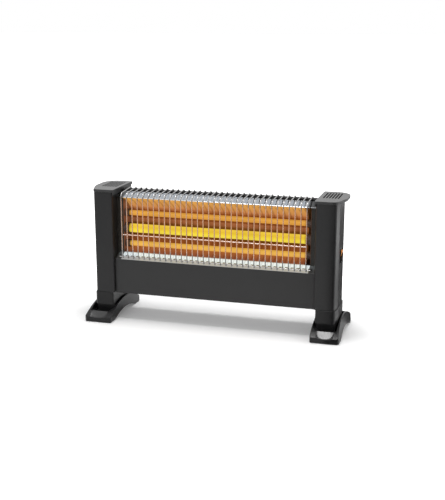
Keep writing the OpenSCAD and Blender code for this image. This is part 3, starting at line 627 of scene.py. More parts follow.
@dataclass(frozen=True)
class PaintedReflectionSheet(Finish):
    """Bright rolled sheet: pale lips, and a trough with a painted reflection that changes with
    height.

    Each height of the trough would mirror a bar or the dark between two bars, so the painted
    reflection, given as emission, follows a ramp over the height. The wires' reflection is painted
    as
    bowed darker streaks, one for each gap: shade = |sin(pi x / pitch + bow h h)|, with h the height
    above the trough's middle. The lower lip's light is painted as emission too.
    """

    low: float
    high: float
    front: float
    pitch: float
    bow: float = 420.0
    hem: float = 0.0026
    line_scale: float = 700.0
    line_stretch: Point = (1.0, 1.0, 0.02)
    wave_scale: float = 22.0
    wave_stretch: Point = (1.6, 0.5, 0.5)
    wave_depth: float = 0.0007
    roughness: Range = (0.1, 0.18)
    # Share of the painted reflection's colour in the trough's own base colour
    mirror_share: float = 0.3
    # Emission strengths of the trough's painted reflection and of the lower lip's painted light
    trough_strength: float = 0.82
    lip_strength: float = 0.78
    slope_rise: Range = (0.007, 0.012)
    dash_rise: Range = (0.008, 0.0095)
    dash_fall: Range = (0.0115, 0.014)
    wire_line: Range = (0.88, 0.99)
    wire_share: Range = (0.0, 0.3)
    gap_line: Range = (0.75, 0.95)
    streak_line: Range = (0.0, 0.75)
    streak_shades: Range = (0.7, 1.04)
    wave_shades: Range = (0.86, 1.1)
    grain_span: Range = (0.15, 0.6)
    lip_metallic: float = 0.3
    # Soft edges of the painted reflection and of the lips, measured from the sill, from the
    # trough's upper edge and from the last uprights
    sill_edge: Range = (-0.0006, 0.0006)
    lip_top: Range = (-0.001, 0.0)
    trough_top: Range = (-0.0012, 0.0004)
    reflection_left: Range = (-0.006, 0.0)
    reflection_right: Range = (-0.012, -0.006)
    reflection_least: float = 0.03
    lip_fade: Range = (0.003, 0.0055)
    lip_fade_out: Range = (1.0, 0.08)
    rolled_left: Range = (-0.004, 0.0)
    rolled_right: Range = (-0.004, -0.001)
    rolled_least: float = 0.08
    # The trough's dark base under its painted reflection, the lips' dark ends and the lower lip's
    # base; then the lower lip's painted light, given as emission: dimmer at its front edge, bright
    # on its slope, with the uprights' painted reflection and the wires' painted shadow. Last the
    # upper lip's rolled metal
    dark_trough: Colour = (0.012, 0.008, 0.006)
    lip_end: Colour = (0.03, 0.03, 0.03)
    lip_metal: Colour = (0.2, 0.2, 0.2)
    lip_edge: Colour = (0.38, 0.38, 0.37)
    lip_slope: Colour = (0.86, 0.97, 1.0)
    painted_wire_reflection: Colour = (0.25, 0.28, 0.3)
    painted_wire_shadow: Colour = (0.04, 0.045, 0.045)
    rolled: tuple[Colour, Colour] = ((0.36, 0.39, 0.43), (0.62, 0.63, 0.64))

    @property
    def last_wire(self) -> float:
        """Distance of the last upright from the heater's middle."""
        return self.pitch * (WIRE_COUNT - 1) / 2

    def lay(self, n: Nodes) -> None:
        """Lays the trough's painted reflection, both lips with painted light and painted wire
        reflections, rolling lines and slow waves.

        Args:
            n: The material's nodes.
        """
        x, z = n.axis("X"), n.axis("Z")
        gaps = n.math("MULTIPLY", x, math.pi / self.pitch)
        lines = n.noise(self.line_scale, 3.0, self.line_stretch)
        waves = n.noise(self.wave_scale, 2.0, self.wave_stretch)
        h = n.math("SUBTRACT", z, (self.low + self.high) / 2)
        # Bowed streaks in which the wires' reflection is painted, one for each gap
        painted_wire_wave = n.ripple(n.math("ADD", gaps, n.product(h, h, self.bow)))
        # Shares of the trough and of the lower lip, by height
        sill, last = self.low - self.hem, self.last_wire
        trough = n.band(z, beside(sill, self.sill_edge), beside(self.high, self.trough_top))
        lower_share = n.spread(z, *beside(sill, self.lip_top), DOWN)
        # The painted reflection and the lower lip's painted light end at the last uprights
        left, right = beside(-last, self.reflection_left), beside(last, self.reflection_right)
        along = n.band(x, left, right, self.reflection_least)
        fade = beside(last, self.lip_fade)
        ends = n.spread(n.off_middle(), *fade, self.lip_fade_out, smooth=True)
        # Painted reflection of the bars, by height
        glow = n.ramp(n.spread(z, self.low, self.high), PAINTED_REFLECTION_STOPS)
        # The lower lip's painted light, given as emission
        lower = self.lower_lip(n, gaps)
        upper = self.upper_lip(n, x, n.product(lines, painted_wire_wave))
        lip = n.mix(lower_share, upper, n.mix(ends, self.lip_end, self.lip_metal))
        # Base of the trough: dark, with a share of the painted reflection's colour
        painted_mirror_base = n.mix(n.product(along, self.mirror_share), self.dark_trough, glow)
        n.set(base=n.mix(trough, lip, painted_mirror_base), emission=n.mix(trough, lower, glow))
        n.set(metallic=n.spread(lower_share, 0.0, 1.0, (1.0, self.lip_metallic)))
        n.set(roughness=n.spread(lines, *CLOUDS, self.roughness))
        # Emission strengths: the trough's painted reflection, darkened in the bowed streaks of the
        # wires' painted reflection, and the lower lip's painted light
        painted_wire_streak = n.spread(painted_wire_wave, *self.streak_line, self.streak_shades, smooth=True)
        uneven = n.product(n.spread(waves, *CLOUDS, self.wave_shades), painted_wire_streak)
        lit = n.product(trough, along, uneven, self.trough_strength)
        painted_lip_light = n.product(lower_share, ends, self.lip_strength)
        n.set(strength=n.math("ADD", lit, painted_lip_light), normal=n.bump(waves, self.wave_depth))

    def lower_lip(self, n: Nodes, gaps: Socket) -> Socket:
        """Painted light of the lower lip, given as emission: dim at its edge, bright on its slope,
        and crossed by painted reflections and shadows of the wires.

        |sin(pi x / pitch)| is 1 at an upright, whose reflection is painted there as a grey stripe, and
        low in the gap between two of them, where short dark dashes across the slope are painted as
        the guard wires' shadow.

        Args:
            n: The material's nodes.
            gaps: Pi x / pitch.

        Returns:
            The socket that gives the colour.
        """
        wire = n.ripple(gaps)
        depth = n.math("SUBTRACT", n.axis("Y"), self.front)
        slope = n.spread(depth, *self.slope_rise, smooth=True)
        line = n.spread(wire, *self.wire_line, self.wire_share, smooth=True)
        across = n.band(depth, self.dash_rise, self.dash_fall)
        dash = n.product(across, n.spread(wire, *self.gap_line, DOWN, smooth=True))
        colour = n.mix(slope, self.lip_edge, self.lip_slope)
        return n.mix(dash, n.mix(line, colour, self.painted_wire_reflection), self.painted_wire_shadow)

    def upper_lip(self, n: Nodes, x: Socket, grain: Socket) -> Socket:
        """Colour of the upper lip: rolled metal, broken by painted reflections of the wires, that
        darkens beyond the last uprights.

        Args:
            n: The material's nodes.
            x: Place along the heater.
            grain: The rolling lines, broken by the wires' painted reflections.

        Returns:
            The socket that gives the colour.
        """
        last = self.last_wire
        colour = n.mix(n.spread(grain, *self.grain_span), *self.rolled)
        left, right = beside(-last, self.rolled_left), beside(last, self.rolled_right)
        return n.mix(n.band(x, left, right, self.rolled_least), self.lip_end, colour)


@dataclass(frozen=True)
class DrawnWire(Finish):
    """Chromed drawn wire with a painted warm glow of the bars' light, as emission, between two
    heights.
    """

    low: float
    high: float
    half_length: float
    # Painted light of the bars, given as emission; the wires give no light of their own
    glow: Colour = (0.30, 0.105, 0.02)
    chrome: tuple[Colour, Colour] = ((0.36, 0.36, 0.37), (0.46, 0.45, 0.44))
    roughness: Range = (0.19, 0.27)
    patch_scale: float = 60.0
    fine_scale: float = 2200.0
    fine_depth: float = 0.000008
    # Soft edges of the painted glow, measured from the two heights
    painted_glow_foot: Range = (0.005, 0.013)
    painted_glow_top: Range = (-0.006, 0.002)
    fade_start: float = 0.9
    fade_out: Range = (1.0, 0.45)

    def lay(self, n: Nodes) -> None:
        """Lays chrome in patches, and painted warm light, as emission, before the trough.

        Args:
            n: The material's nodes.
        """
        fine = n.noise(self.fine_scale, 2.0)
        rise, fall = beside(self.low, self.painted_glow_foot), beside(self.high, self.painted_glow_top)
        half = self.half_length
        along = n.spread(n.off_middle(), half * self.fade_start, half, self.fade_out)
        n.set(base=n.mix(n.noise(self.patch_scale, 4.0), *self.chrome), metallic=1.0)
        n.set(roughness=n.spread(fine, *CLOUDS, self.roughness))
        n.set(normal=n.bump(fine, self.fine_depth))
        n.set(emission=self.glow, strength=n.product(n.band(n.axis("Z"), rise, fall), along))


@dataclass(frozen=True)
class GlowingQuartz(Finish):
    """Satin quartz lit from inside, brighter in fine rings where the coil's turns lie."""

    middle: float
    radius: float
    colours: tuple[Colour, ...]
    turn: float
    half_length: float
    heights: tuple[float, ...] = (0.05, 0.4, 0.72, 0.96)
    strength: float = 0.97
    cloud_scale: float = 30.0
    cloud_stretch: Point = (1.0, 0.2, 0.2)
    cloud_shades: Range = (0.86, 1.04)
    ring_shades: Range = (0.93, 1.03)
    body_share: float = 0.12
    fade_start: float = 0.94
    fade_end: float = 0.995
    fade_out: Range = (1.0, 0.1)

    def lay(self, n: Nodes) -> None:
        """Lays a glow that goes by height, by coil turns and by distance from the ends.

        Args:
            n: The material's nodes.
        """
        height = n.spread(n.axis("Z"), self.middle - self.radius, self.middle + self.radius)
        colour = n.ramp(height, tuple(zip(self.heights, self.colours)))
        rings = n.math("SINE", n.math("MULTIPLY", n.axis("X"), 2.0 * math.pi / self.turn))
        clouds = n.noise(self.cloud_scale, 3.0, self.cloud_stretch)
        fade = self.half_length * self.fade_start, self.half_length * self.fade_end
        along = n.spread(n.off_middle(), *fade, self.fade_out, smooth=True)
        patchy = n.spread(clouds, *CLOUDS, self.cloud_shades)
        share = n.product(patchy, n.spread(rings, -1.0, 1.0, self.ring_shades), self.strength)
        n.set(base=n.mix(self.body_share, (0.0, 0.0, 0.0), colour), specular=0.12)
        n.set(transmission=0.1, roughness=0.28, ior=1.46)
        n.set(emission=colour, strength=n.product(along, share))


@dataclass(frozen=True)
class HotCoil(Finish):
    """Resistance wire at working heat."""

    glow: Colour = (1.0, 0.42, 0.07)
    half_length: float = 0.2
    oxide: tuple[Colour, Colour] = ((0.08, 0.06, 0.05), (0.16, 0.12, 0.1))
    oxide_scale: float = 300.0
    fade_start: float = 0.95
    fade_out: Range = (1.6, 0.02)

    def lay(self, n: Nodes) -> None:
        """Lays oxidised wire with a glow that dies away at the cold ends.

        Args:
            n: The material's nodes.
        """
        half = self.half_length
        along = n.spread(
            n.off_middle(), half * self.fade_start, half, self.fade_out, smooth=True
        )
        n.set(base=n.mix(n.noise(self.oxide_scale), *self.oxide), metallic=0.6, roughness=0.5)
        n.set(emission=self.glow, strength=along)


@dataclass(frozen=True)
class PlateWithPaintedReflection(Finish):
    """Painted end plate with a bare inner web, heat-tinted brown, on which the bars' reflection is
    painted as emission.
    """

    web: float
    # Painted reflection of the bars on the web, given as emission
    glow: Colour = (0.15, 0.058, 0.028)
    paint: Colour = (0.03, 0.029, 0.025)
    brown_tones: tuple[Colour, Colour] = ((0.05, 0.022, 0.013), (0.17, 0.08, 0.045))
    streak_scale: float = 60.0
    streak_stretch: Point = (0.3, 6.0, 0.15)
    streak_shades: Range = (0.3, 1.1)
    skin_scale: float = 900.0
    skin_depth: float = 0.00002
    metallic: float = 0.7
    roughness: Range = (0.28, 0.42)
    # Soft edges, measured from the web's face and from the trough's two edges
    web_edge: Range = (0.0002, 0.0006)
    painted_glow_foot: Range = (-0.004, 0.006)
    painted_glow_top: Range = (-0.02, 0.0)

    def lay(self, n: Nodes) -> None:
        """Lays dark paint outside the web's face, and heat-tinted metal with a painted reflection
        on it.

        Args:
            n: The material's nodes.
        """
        bare = n.spread(n.off_middle(), *beside(self.web, self.web_edge), DOWN)
        streaks = n.noise(self.streak_scale, 4.0, self.streak_stretch)
        rise, fall = beside(SILL_BACK, self.painted_glow_foot), beside(LIP_FRONT, self.painted_glow_top)
        patchy = n.spread(streaks, *CLOUDS, self.streak_shades)
        # Painted reflection of the bars: emission on the bare web between the trough's edges
        lit = n.product(n.band(n.axis("Z"), rise, fall), bare, patchy)
        n.set(emission=self.glow, strength=lit)
        n.set(base=n.mix(bare, self.paint, n.mix(streaks, *self.brown_tones)))
        n.set(metallic=n.spread(bare, 0.0, 1.0, (0.0, self.metallic)), specular=0.3)
        n.set(roughness=n.spread(streaks, *STREAKS, self.roughness))
        n.set(normal=n.bump(n.noise(self.skin_scale, 2.0), self.skin_depth))


@dataclass(frozen=True)
class Earthenware(Finish):
    """Steatite with a few dark specks."""

    colour: Colour = (0.66, 0.62, 0.54)
    shades: Range = (0.9, 1.0)
    cloud_scale: float = 90.0
    speck_colour: Colour = (0.22, 0.19, 0.16)
    speck_scale: float = 1500.0
    speck_edge: Range = (0.66, 0.72)
    glaze_scale: float = 700.0
    glaze_depth: float = 0.00003

    def lay(self, n: Nodes) -> None:
        """Lays a cloudy body colour, specks and a dull glaze.

        Args:
            n: The material's nodes.
        """
        speck = n.spread(n.noise(self.speck_scale, 1.0), *self.speck_edge)
        body = n.shaded(n.noise(self.cloud_scale, 3.0), self.colour, self.shades)
        n.set(base=n.mix(speck, body, self.speck_colour))
        n.set(roughness=0.55, coat=0.15, coat_roughness=0.35)
        n.set(normal=n.bump(n.noise(self.glaze_scale, 2.0), self.glaze_depth))


@dataclass(frozen=True)
class PlatedMetal(Finish):
    """Plated or bare metal with fine scratches."""

    colour: Colour
    roughness: float = 0.35
    shades: Range = (0.82, 1.12)
    scratch_scale: float = 800.0
    skin_scale: float = 1600.0
    skin_depth: float = 0.00001
    uneven: Range = (-0.06, 0.08)

    def lay(self, n: Nodes) -> None:
        """Lays fine scratches in colour and roughness, and a skin as bump.

        Args:
            n: The material's nodes.
        """
        scratches = n.noise(self.scratch_scale, 3.0)
        rough = beside(self.roughness, self.uneven)
        n.set(base=n.shaded(scratches, self.colour, self.shades), metallic=1.0)
        n.set(roughness=n.spread(scratches, *STREAKS, rough))
        n.set(normal=n.bump(n.noise(self.skin_scale, 2.0), self.skin_depth))


@dataclass(frozen=True)
class Rubber(Finish):
    """Soft black rubber with a matt, slightly dusty skin."""

    dusty: tuple[Colour, Colour] = ((0.012, 0.012, 0.012), (0.03, 0.029, 0.028))
    dust_scale: float = 120.0
    skin_scale: float = 1800.0
    skin_depth: float = 0.00004

    def lay(self, n: Nodes) -> None:
        """Lays matt black, dusty patches and a fine rough skin.

        Args:
            n: The material's nodes.
        """
        n.set(base=n.mix(n.noise(self.dust_scale, 4.0), *self.dusty))
        n.set(roughness=0.78, specular=0.3)
        n.set(normal=n.bump(n.noise(self.skin_scale, 3.0), self.skin_depth))


@dataclass(frozen=True)
class GlossPlastic(Finish):
    """Polished moulded plastic, solid or see-through."""

    colour: Colour
    roughness: float = 0.16
    clear: float = 0.0
    glow: float = 0.0
    shades: Range = (0.86, 1.0)
    sink_scale: float = 160.0
    sink_depth: float = 0.00006
    uneven: Range = (0.0, 0.08)

    def lay(self, n: Nodes) -> None:
        """Lays a polished skin with slight sinks, and faint light from inside.

        Args:
            n: The material's nodes.
        """
        sinks = n.noise(self.sink_scale, 3.0)
        n.set(base=n.shaded(sinks, self.colour, self.shades), transmission=self.clear)
        n.set(roughness=n.spread(sinks, *CLOUDS, beside(self.roughness, self.uneven)))
        n.set(coat=0.4, coat_roughness=0.08, normal=n.bump(sinks, self.sink_depth))
        if self.glow:
            n.set(emission=self.colour, strength=self.glow)


@dataclass(frozen=True)
class WovenSleeve(Finish):
    """Glass-fibre sleeve: two crossing sets of fine yarns.

    The weave is sin(k (x + z + y)) sin(k (x + z - y)), with k the yarns' angle in a metre.
    """

    yarns: float = 5200.0
    depth: float = 0.00012
    fibre: tuple[Colour, Colour] = ((0.46, 0.42, 0.34), (0.72, 0.68, 0.58))

    def lay(self, n: Nodes) -> None:
        """Lays crossed waves as yarns, in colour and bump.

        Args:
            n: The material's nodes.
        """
        along, around = n.math("ADD", n.axis("X"), n.axis("Z")), n.axis("Y")
        first, second = (
            n.math("SINE", n.math("MULTIPLY", n.math(operation, along, around), self.yarns))
            for operation in ("ADD", "SUBTRACT")
        )
        weave = n.spread(n.product(first, second), -1.0, 1.0)
        n.set(base=n.mix(weave, *self.fibre), roughness=0.8, sheen=0.2)
        n.set(normal=n.bump(weave, self.depth))


SCREW_STEEL = PlatedMetal("screw_steel", (0.6, 0.6, 0.61))


# ------------------------------------------------------------------ heater


class Workshop:
    """Makes each finish once, dresses nodes with it, and copies nodes whose edges are softened."""

    # Faces of a node that meet at less than this are one flat face
    flat_angle = 0.4
    # Edges of a copy stay sharp in its shading from this angle on
    sharp_angle = 11.0
    # Edges are rounded from this angle on
    round_angle = 32.0

    def __init__(self) -> None:
        """Starts with no finish made."""
        self._made: dict[str, bpy.types.Material] = {}

    def material(self, finish: Finish) -> bpy.types.Material:
        """The material of a finish, made on first use.

        Args:
            finish: The finish.

        Returns:
            Its material.
        """
        if finish.name not in self._made:
            self._made[finish.name] = finish.make()
        return self._made[finish.name]

    def dress(self, piece: bpy.types.Object, finish: Finish) -> None:
        """Gives a piece one finish all over."""
        piece.data.materials.clear()
        piece.data.materials.append(self.material(finish))

    def dress_node(self, node: str, finish: Finish) -> None:
        """Gives a node of the frame one finish all over."""
        self.dress(frame["nodes"][node], finish)
        log.info("node %s: %s", node, finish.name)

    def soften(self, node: str, finish: Finish, width: float) -> bpy.types.Object:
        """Stands for a node with a copy whose edges are rounded inwards.

        The copy's points are held inside the node's own box.

        Args:
            node: The node's name.
            finish: The copy's finish.
            width: How far each rounding reaches from its edge.

        Returns:
            The copy, riding on the node's body.
        """
        mesh = frame["nodes"][node].data.copy()
        mesh.name = f"{node}_softened"
        work = bmesh.new()
        work.from_mesh(mesh)
        bmesh.ops.remove_doubles(work, verts=work.verts, dist=MERGE)
        bmesh.ops.dissolve_limit(
            work, angle_limit=math.radians(self.flat_angle), verts=work.verts, edges=work.edges
        )
        work.to_mesh(mesh)
        work.free()
        piece = bpy.data.objects.new(mesh.name, mesh)
        bpy.context.scene.collection.objects.link(piece)
        mesh.polygons.foreach_set("use_smooth", np.ones(len(mesh.polygons), bool))
        mesh.set_sharp_from_angle(angle=math.radians(self.sharp_angle))
        mesh.update()
        bevel = piece.modifiers.new("edges", "BEVEL")
        bevel.width = width
        bevel.segments = 2
        bevel.limit_method = "ANGLE"
        bevel.angle_limit = math.radians(self.round_angle)
        bevel.use_clamp_overlap = False
        bevel.harden_normals = True
        graph = bpy.context.evaluated_depsgraph_get()
        rounded = bpy.data.meshes.new_from_object(piece.evaluated_get(graph))
        piece.modifiers.clear()
        piece.data = rounded
        points = np.empty(len(rounded.vertices) * 3)
        rounded.vertices.foreach_get("co", points)
        low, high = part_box(node)
        points = np.clip(points.reshape(-1, 3), np.array(low), np.array(high))
        rounded.vertices.foreach_set("co", points.ravel())
        rounded.update()
        return self.add(piece, body_of(node), slot_of(node), finish, (node,))

    def add(
        self,
        piece: bpy.types.Object,
        body: Body,
        slot: Slot,
        finish: Finish,
        replaced: tuple[str, ...] = (),
    ) -> bpy.types.Object:
        """Dresses a new piece, lets it ride on a body and hides the nodes that it stands for.

        Args:
            piece: The new piece, in place.
            body: The body that carries it.
            slot: The record's slot of its finish; not used.
            finish: Its finish.
            replaced: Nodes of the frame that it stands for.

        Returns:
            The piece.
        """
        self.dress(piece, finish)
        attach(piece, body.value)
        if replaced:
            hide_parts(*replaced)
        log.info("piece %s on %s: %d faces", piece.name, body.value, len(piece.data.polygons))
        return piece


@dataclass
class EndTowers:
    """Both moulded end towers with their top caps, feet, pads and screws."""

    shop: Workshop
    plastic: MouldedPlastic = MouldedPlastic(
        "tower_plastic", (0.013, 0.013, 0.0135), 0.32, 0.36, middle=0.2635, crown=4.0
    )
    cap_plastic: MouldedPlastic = MouldedPlastic(
        "cap_plastic", (0.022, 0.022, 0.0225), 0.32, 0.62
    )
    foot_plastic: MouldedPlastic = MouldedPlastic(
        "foot_plastic", (0.011, 0.011, 0.0115), 0.31, 0.3
    )
    toe_gloss: GlossPlastic = GlossPlastic("toe_gloss", (0.012, 0.012, 0.0125), 0.285)
    edge: float = 0.0008
    cap_edge: float = 0.0006
    toe_front: float = -0.0935
    toe_back: float = -0.0762
    toe_height: float = 0.013
    toe_slope: float = 0.553
    toe_gap: float = 0.0004
    scoop_radius: float = 0.08
    scoop_depth: float = 0.0025
    scoop_fill: float = 0.985
    lens_rows: int = 33
    lens_columns: int = 13
    lens_fade: float = 0.98
    lens_lift: float = 0.00004
    lens_sink: float = 0.00002
    lens_sharp: float = 40.0

    def build(self) -> None:
        """Dresses towers, caps, feet, pads and screws."""
        for side in Side:
            self.shop.soften(f"{side.value}_tower", self.plastic, self.edge)
            self.shop.soften(f"{side.value}_top_cap", self.cap_plastic, self.cap_edge)
            self.shop.soften(f"{side.value}_foot", self.foot_plastic, self.edge)
            self.toe_lens(side)
        self.shop.dress_node("foot_pads", Rubber("pad_rubber"))
        for node in ("tower_screws", "foot_screws"):
            self.shop.dress_node(node, SCREW_STEEL)

    def toe_lens(self, side: Side) -> bpy.types.Object:
        """Lays a polished wedge into the round hollow of one toe.

        With d = depth - x x / (2 radius) as the hollow's depth at a place x off its middle, and v
        from 0 at the toe's edge to 1 at the dish, the wedge's face lies d (1 - fade v) under the
        rims' slope, and its underside d under it, on the hollow's own floor.

        Args:
            side: The foot's side.

        Returns:
            The wedge.
        """
        low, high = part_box(f"{side.value}_foot")
        half = math.sqrt(2.0 * self.scoop_radius * self.scoop_depth) * self.scoop_fill
        rows, columns = self.lens_rows, self.lens_columns
        across, v = np.linspace(-half, half, rows), np.linspace(0.0, 1.0, columns)
        across, v = np.meshgrid(across, v, indexing="ij")
        d = self.scoop_depth - across * across / (2.0 * self.scoop_radius)
        slope = self.toe_height + v * (self.toe_back - self.toe_front) * self.toe_slope
        first = self.toe_front + self.toe_gap
        y = first + v * (self.toe_back - first)
        x = across + (low.x + high.x) / 2
        face = np.stack([x, y, slope - d * (1.0 - v * self.lens_fade) + self.lens_lift], axis=-1)
        underside = np.stack([x, y, slope - d - self.lens_sink], axis=-1)[:, ::-1]
        points = np.concatenate([face, underside], axis=1)
        ring = np.arange(2 * columns)
        quads = grid_faces(rows, len(ring), False, True)
        ends = [ring[None, :], ((rows - 1) * len(ring) + ring)[None, ::-1]]
        name = f"{side.value}_toe_lens"
        piece = make_piece(name, points.reshape(-1, 3), [quads[:, ::-1]] + ends)
        piece.data.set_sharp_from_angle(angle=math.radians(self.lens_sharp))
        return self.shop.add(piece, Body.HEATER, Slot.PLASTIC, self.toe_gloss)


@dataclass
class SheetBody:
    """Front panel, back cover, end plates and the polished reflector."""

    shop: Workshop
    cover_paint: PowderCoat = PowderCoat("cover_paint", (0.010, 0.010, 0.010), 0.62, 0.12)
    slot_columns: int = 6
    slot_rows: int = 9
    slot_first: float = 0.0885
    slot_step: float = 0.017
    cover_face: float = 0.0459
    hood_length: float = 0.049
    hood_depth: float = 0.0035
    hood_height: float = 0.0062
    hood_wall: float = 0.0006
    hood_points: tuple[int, int] = (13, 5)

    def build(self) -> None:
        """Dresses the sheets and presses the hoods."""
        self.shop.dress_node("front_panel", PowderCoat("panel_paint"))
        self.shop.dress_node("back_cover", self.cover_paint)
        web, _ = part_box("right_end_plate")
        for node in ("left_end_plate", "right_end_plate"):
            self.shop.dress_node(node, PlateWithPaintedReflection("end_plate_skin", web.x))
        self.shop.dress_node("back_cover_screws", SCREW_STEEL)
        front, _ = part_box("front_panel")
        uprights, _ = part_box("guard_uprights")
        pitch = 2.0 * (-uprights.x - WIRE_RADIUS) / (WIRE_COUNT - 1)
        mirror = PaintedReflectionSheet("trough_with_painted_light", SILL_BACK, LIP_FRONT, front.y, pitch)
        self.shop.dress_node("reflector", mirror)
        self.hoods(web.x)

    def hoods(self, half: float) -> bpy.types.Object:
        """Presses a hood over each cooling slot of the back cover.

        With u from -1 to 1 along a slot and v from 0 to 1 down over it, a hood is
        (u l / 2, d (1 - u^6) sin(pi v / 2), -v h) from the middle of its upper edge.

        Args:
            half: Half the length that the columns of slots share.

        Returns:
            All the hoods as one piece.
        """
        along, down = self.hood_points
        u, v = np.linspace(-1.0, 1.0, along), np.linspace(0.0, 1.0, down)
        u, v = np.meshgrid(u, v, indexing="ij")
        hood = np.stack([
            u * self.hood_length / 2,
            self.hood_depth * (1.0 - u ** 6) * np.sin(v * math.pi / 2),
            -v * self.hood_height,
        ], axis=-1).reshape(-1, 3)
        pitch = 2.0 * half / self.slot_columns
        columns = (np.arange(self.slot_columns) - (self.slot_columns - 1) / 2) * pitch
        rows = self.slot_first + np.arange(self.slot_rows) * self.slot_step
        places = np.array([[x, self.cover_face, z] for x in columns for z in rows])
        points = (places[:, None, :] + hood[None, :, :]).reshape(-1, 3)
        quads = grid_faces(along, down, False, False)[:, ::-1]
        starts = np.arange(len(places))[:, None, None] * len(hood)
        piece = make_piece("slot_hoods", points, [(quads[None] + starts).reshape(-1, 4)])
        wall = piece.modifiers.new("wall", "SOLIDIFY")
        wall.thickness = self.hood_wall
        wall.offset = -1.0
        return self.shop.add(piece, Body.HEATER, Slot.PAINT, self.cover_paint)


@dataclass
class Guard:
    """The bright wires before the tubes."""

    shop: Workshop

    def build(self) -> None:
        """Dresses uprights and cross wires."""
        _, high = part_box("guard_uprights")
        for node in ("guard_uprights", "guard_cross_wires"):
            self.shop.dress_node(node, DrawnWire("guard_chrome", SILL_BACK, LIP_FRONT, high.x))


# Each lit tube's colours, from its lower rim to its upper rim
TUBE_COLOURS = {
    Level.UPPER: (
        (0.66, 0.29, 0.045), (0.70, 0.33, 0.05), (0.77, 0.375, 0.055), (0.62, 0.29, 0.045)
    ),
    Level.MIDDLE: (
        (0.86, 0.68, 0.07), (0.89, 0.69, 0.045), (0.78, 0.51, 0.022), (0.86, 0.60, 0.06)
    ),
    Level.LOWER: (
        (0.70, 0.36, 0.07), (0.83, 0.45, 0.085), (0.79, 0.445, 0.07), (0.68, 0.37, 0.06)
    ),
}


@dataclass
class HeatingTubes:
    """Three quartz tubes with their coils, ceramic caps, pins and clips."""

    shop: Workshop
    wire_radius: float = 0.00055
    turn: float = 0.0034
    turn_points: int = 14
    wire_sides: int = 6

    def build(self) -> None:
        """Dresses the tubes and winds their coils."""
        for level in Level:
            self.shop.dress_node(f"{level.value}_quartz_tube", self.glow_of(level))
            self.wind(level)
        # Painted shade: the ceramic caps are given a dark brown for the shade they sit in
        brown_tones = Earthenware("ceramic_painted_shade", (0.05, 0.023, 0.013))
        for side in Side:
            self.shop.dress_node(f"{side.value}_ceramic_caps", brown_tones)
            pins = PlatedMetal("pin_steel", (0.62, 0.6, 0.57))
            self.shop.dress_node(f"{side.value}_terminal_pins", pins)
        self.shop.dress_node("tube_clips", PlatedMetal("clip_steel", (0.55, 0.55, 0.56)))

    def glow_of(self, level: Level) -> GlowingQuartz:
        """The finish of one tube: yellow in the middle one, orange in the others.

        Args:
            level: The tube.

        Returns:
            Its finish.
        """
        low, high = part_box(f"{level.value}_quartz_tube")
        place = ((low.z + high.z) / 2, (high.z - low.z) / 2)
        name = f"{level.value}_quartz"
        return GlowingQuartz(name, *place, TUBE_COLOURS[level], self.turn, high.x)

    def wind(self, level: Level) -> bpy.types.Object:
        """Winds the coil of one tube as a helix inside its envelope.

        The centre line is (x, y + r cos a, z + r sin a), with the angle a growing evenly along x.

        Args:
            level: The tube.

        Returns:
            The coil.
        """
        node = f"{level.value}_heating_coil"
        low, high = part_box(node)
        radius = (high.z - low.z) / 2 - self.wire_radius
        length = high.x - low.x - 4 * self.wire_radius
        turns = length / self.turn
        angle = np.linspace(0.0, 2.0 * math.pi * turns, int(turns * self.turn_points) + 1)
        path = np.stack([
            low.x + 2 * self.wire_radius + length * angle / angle[-1],
            (low.y + high.y) / 2 + radius * np.cos(angle),
            (low.z + high.z) / 2 + radius * np.sin(angle),
        ], axis=1)
        points, faces = tube_along(path, self.wire_radius, self.wire_sides)
        piece = make_piece(f"{level.value}_wound_coil", points, faces)
        return self.shop.add(piece, Body.HEATER, Slot.HOT_COIL, HotCoil("hot_wire"), (node,))


@dataclass
class PowerSwitch:
    """The rocker switch on the right tower."""

    shop: Workshop
    frame_gloss: GlossPlastic = GlossPlastic("switch_frame", (0.012, 0.012, 0.012), 0.18)
    amber: GlossPlastic = GlossPlastic("amber_cap", (0.80, 0.30, 0.03), 0.14, 0.2, 0.35)
    frame_edge: float = 0.0004
    rocker_edge: float = 0.0005

    def build(self) -> None:
        """Dresses frame, rocker and terminals."""
        self.shop.soften("switch_housing", self.frame_gloss, self.frame_edge)
        self.shop.soften("switch_rocker", self.amber, self.rocker_edge)
        self.shop.dress_node("switch_terminals", PlatedMetal("terminal_brass", (0.72, 0.56, 0.26)))


@dataclass
class TipSwitch:
    """The tip-over switch under the right foot's heel."""

    shop: Workshop
    case: GlossPlastic = GlossPlastic("tip_case", (0.014, 0.014, 0.014), 0.3)
    white: GlossPlastic = GlossPlastic("plunger_white", (0.62, 0.62, 0.58), 0.3)
    spring: PlatedMetal = PlatedMetal("spring_steel", (0.58, 0.58, 0.6), 0.25)

    def build(self) -> None:
        """Dresses housing, plunger and spring."""
        self.shop.dress_node("tip_switch_housing", self.case)
        self.shop.dress_node("tip_plunger", self.white)
        self.shop.dress_node("tip_spring", self.spring)


@dataclass
class Wiring:
    """Leads, connection blocks, thermal cut-out and cord bushing."""

    shop: Workshop

    def build(self) -> None:
        """Dresses what lies inside the towers."""
        for node in ("left_leads", "right_leads"):
            self.shop.dress_node(node, WovenSleeve("fibre_sleeve"))
        for node in ("terminal_blocks", "thermal_cutout"):
            self.shop.dress_node(node, Earthenware("steatite"))
        self.shop.dress_node("cord_bushing", Rubber("bushing_rubber"))


# ------------------------------------------------------------------ studio


@dataclass(frozen=True)
class Card:
    """A sheet on the floor that only glossy surfaces see.

    Its brightness runs evenly from near to far over the studio's card_span.
    """

    name: str
    corners: tuple[tuple[float, float], ...]
    near: float = 0.0
    far: float = 0.0


@dataclass(frozen=True)
class Lamp:
    """A rectangular soft lamp at a place, turned to a target."""

    name: str
    place: Point
    target: Point
    size: tuple[float, float]
    power: float


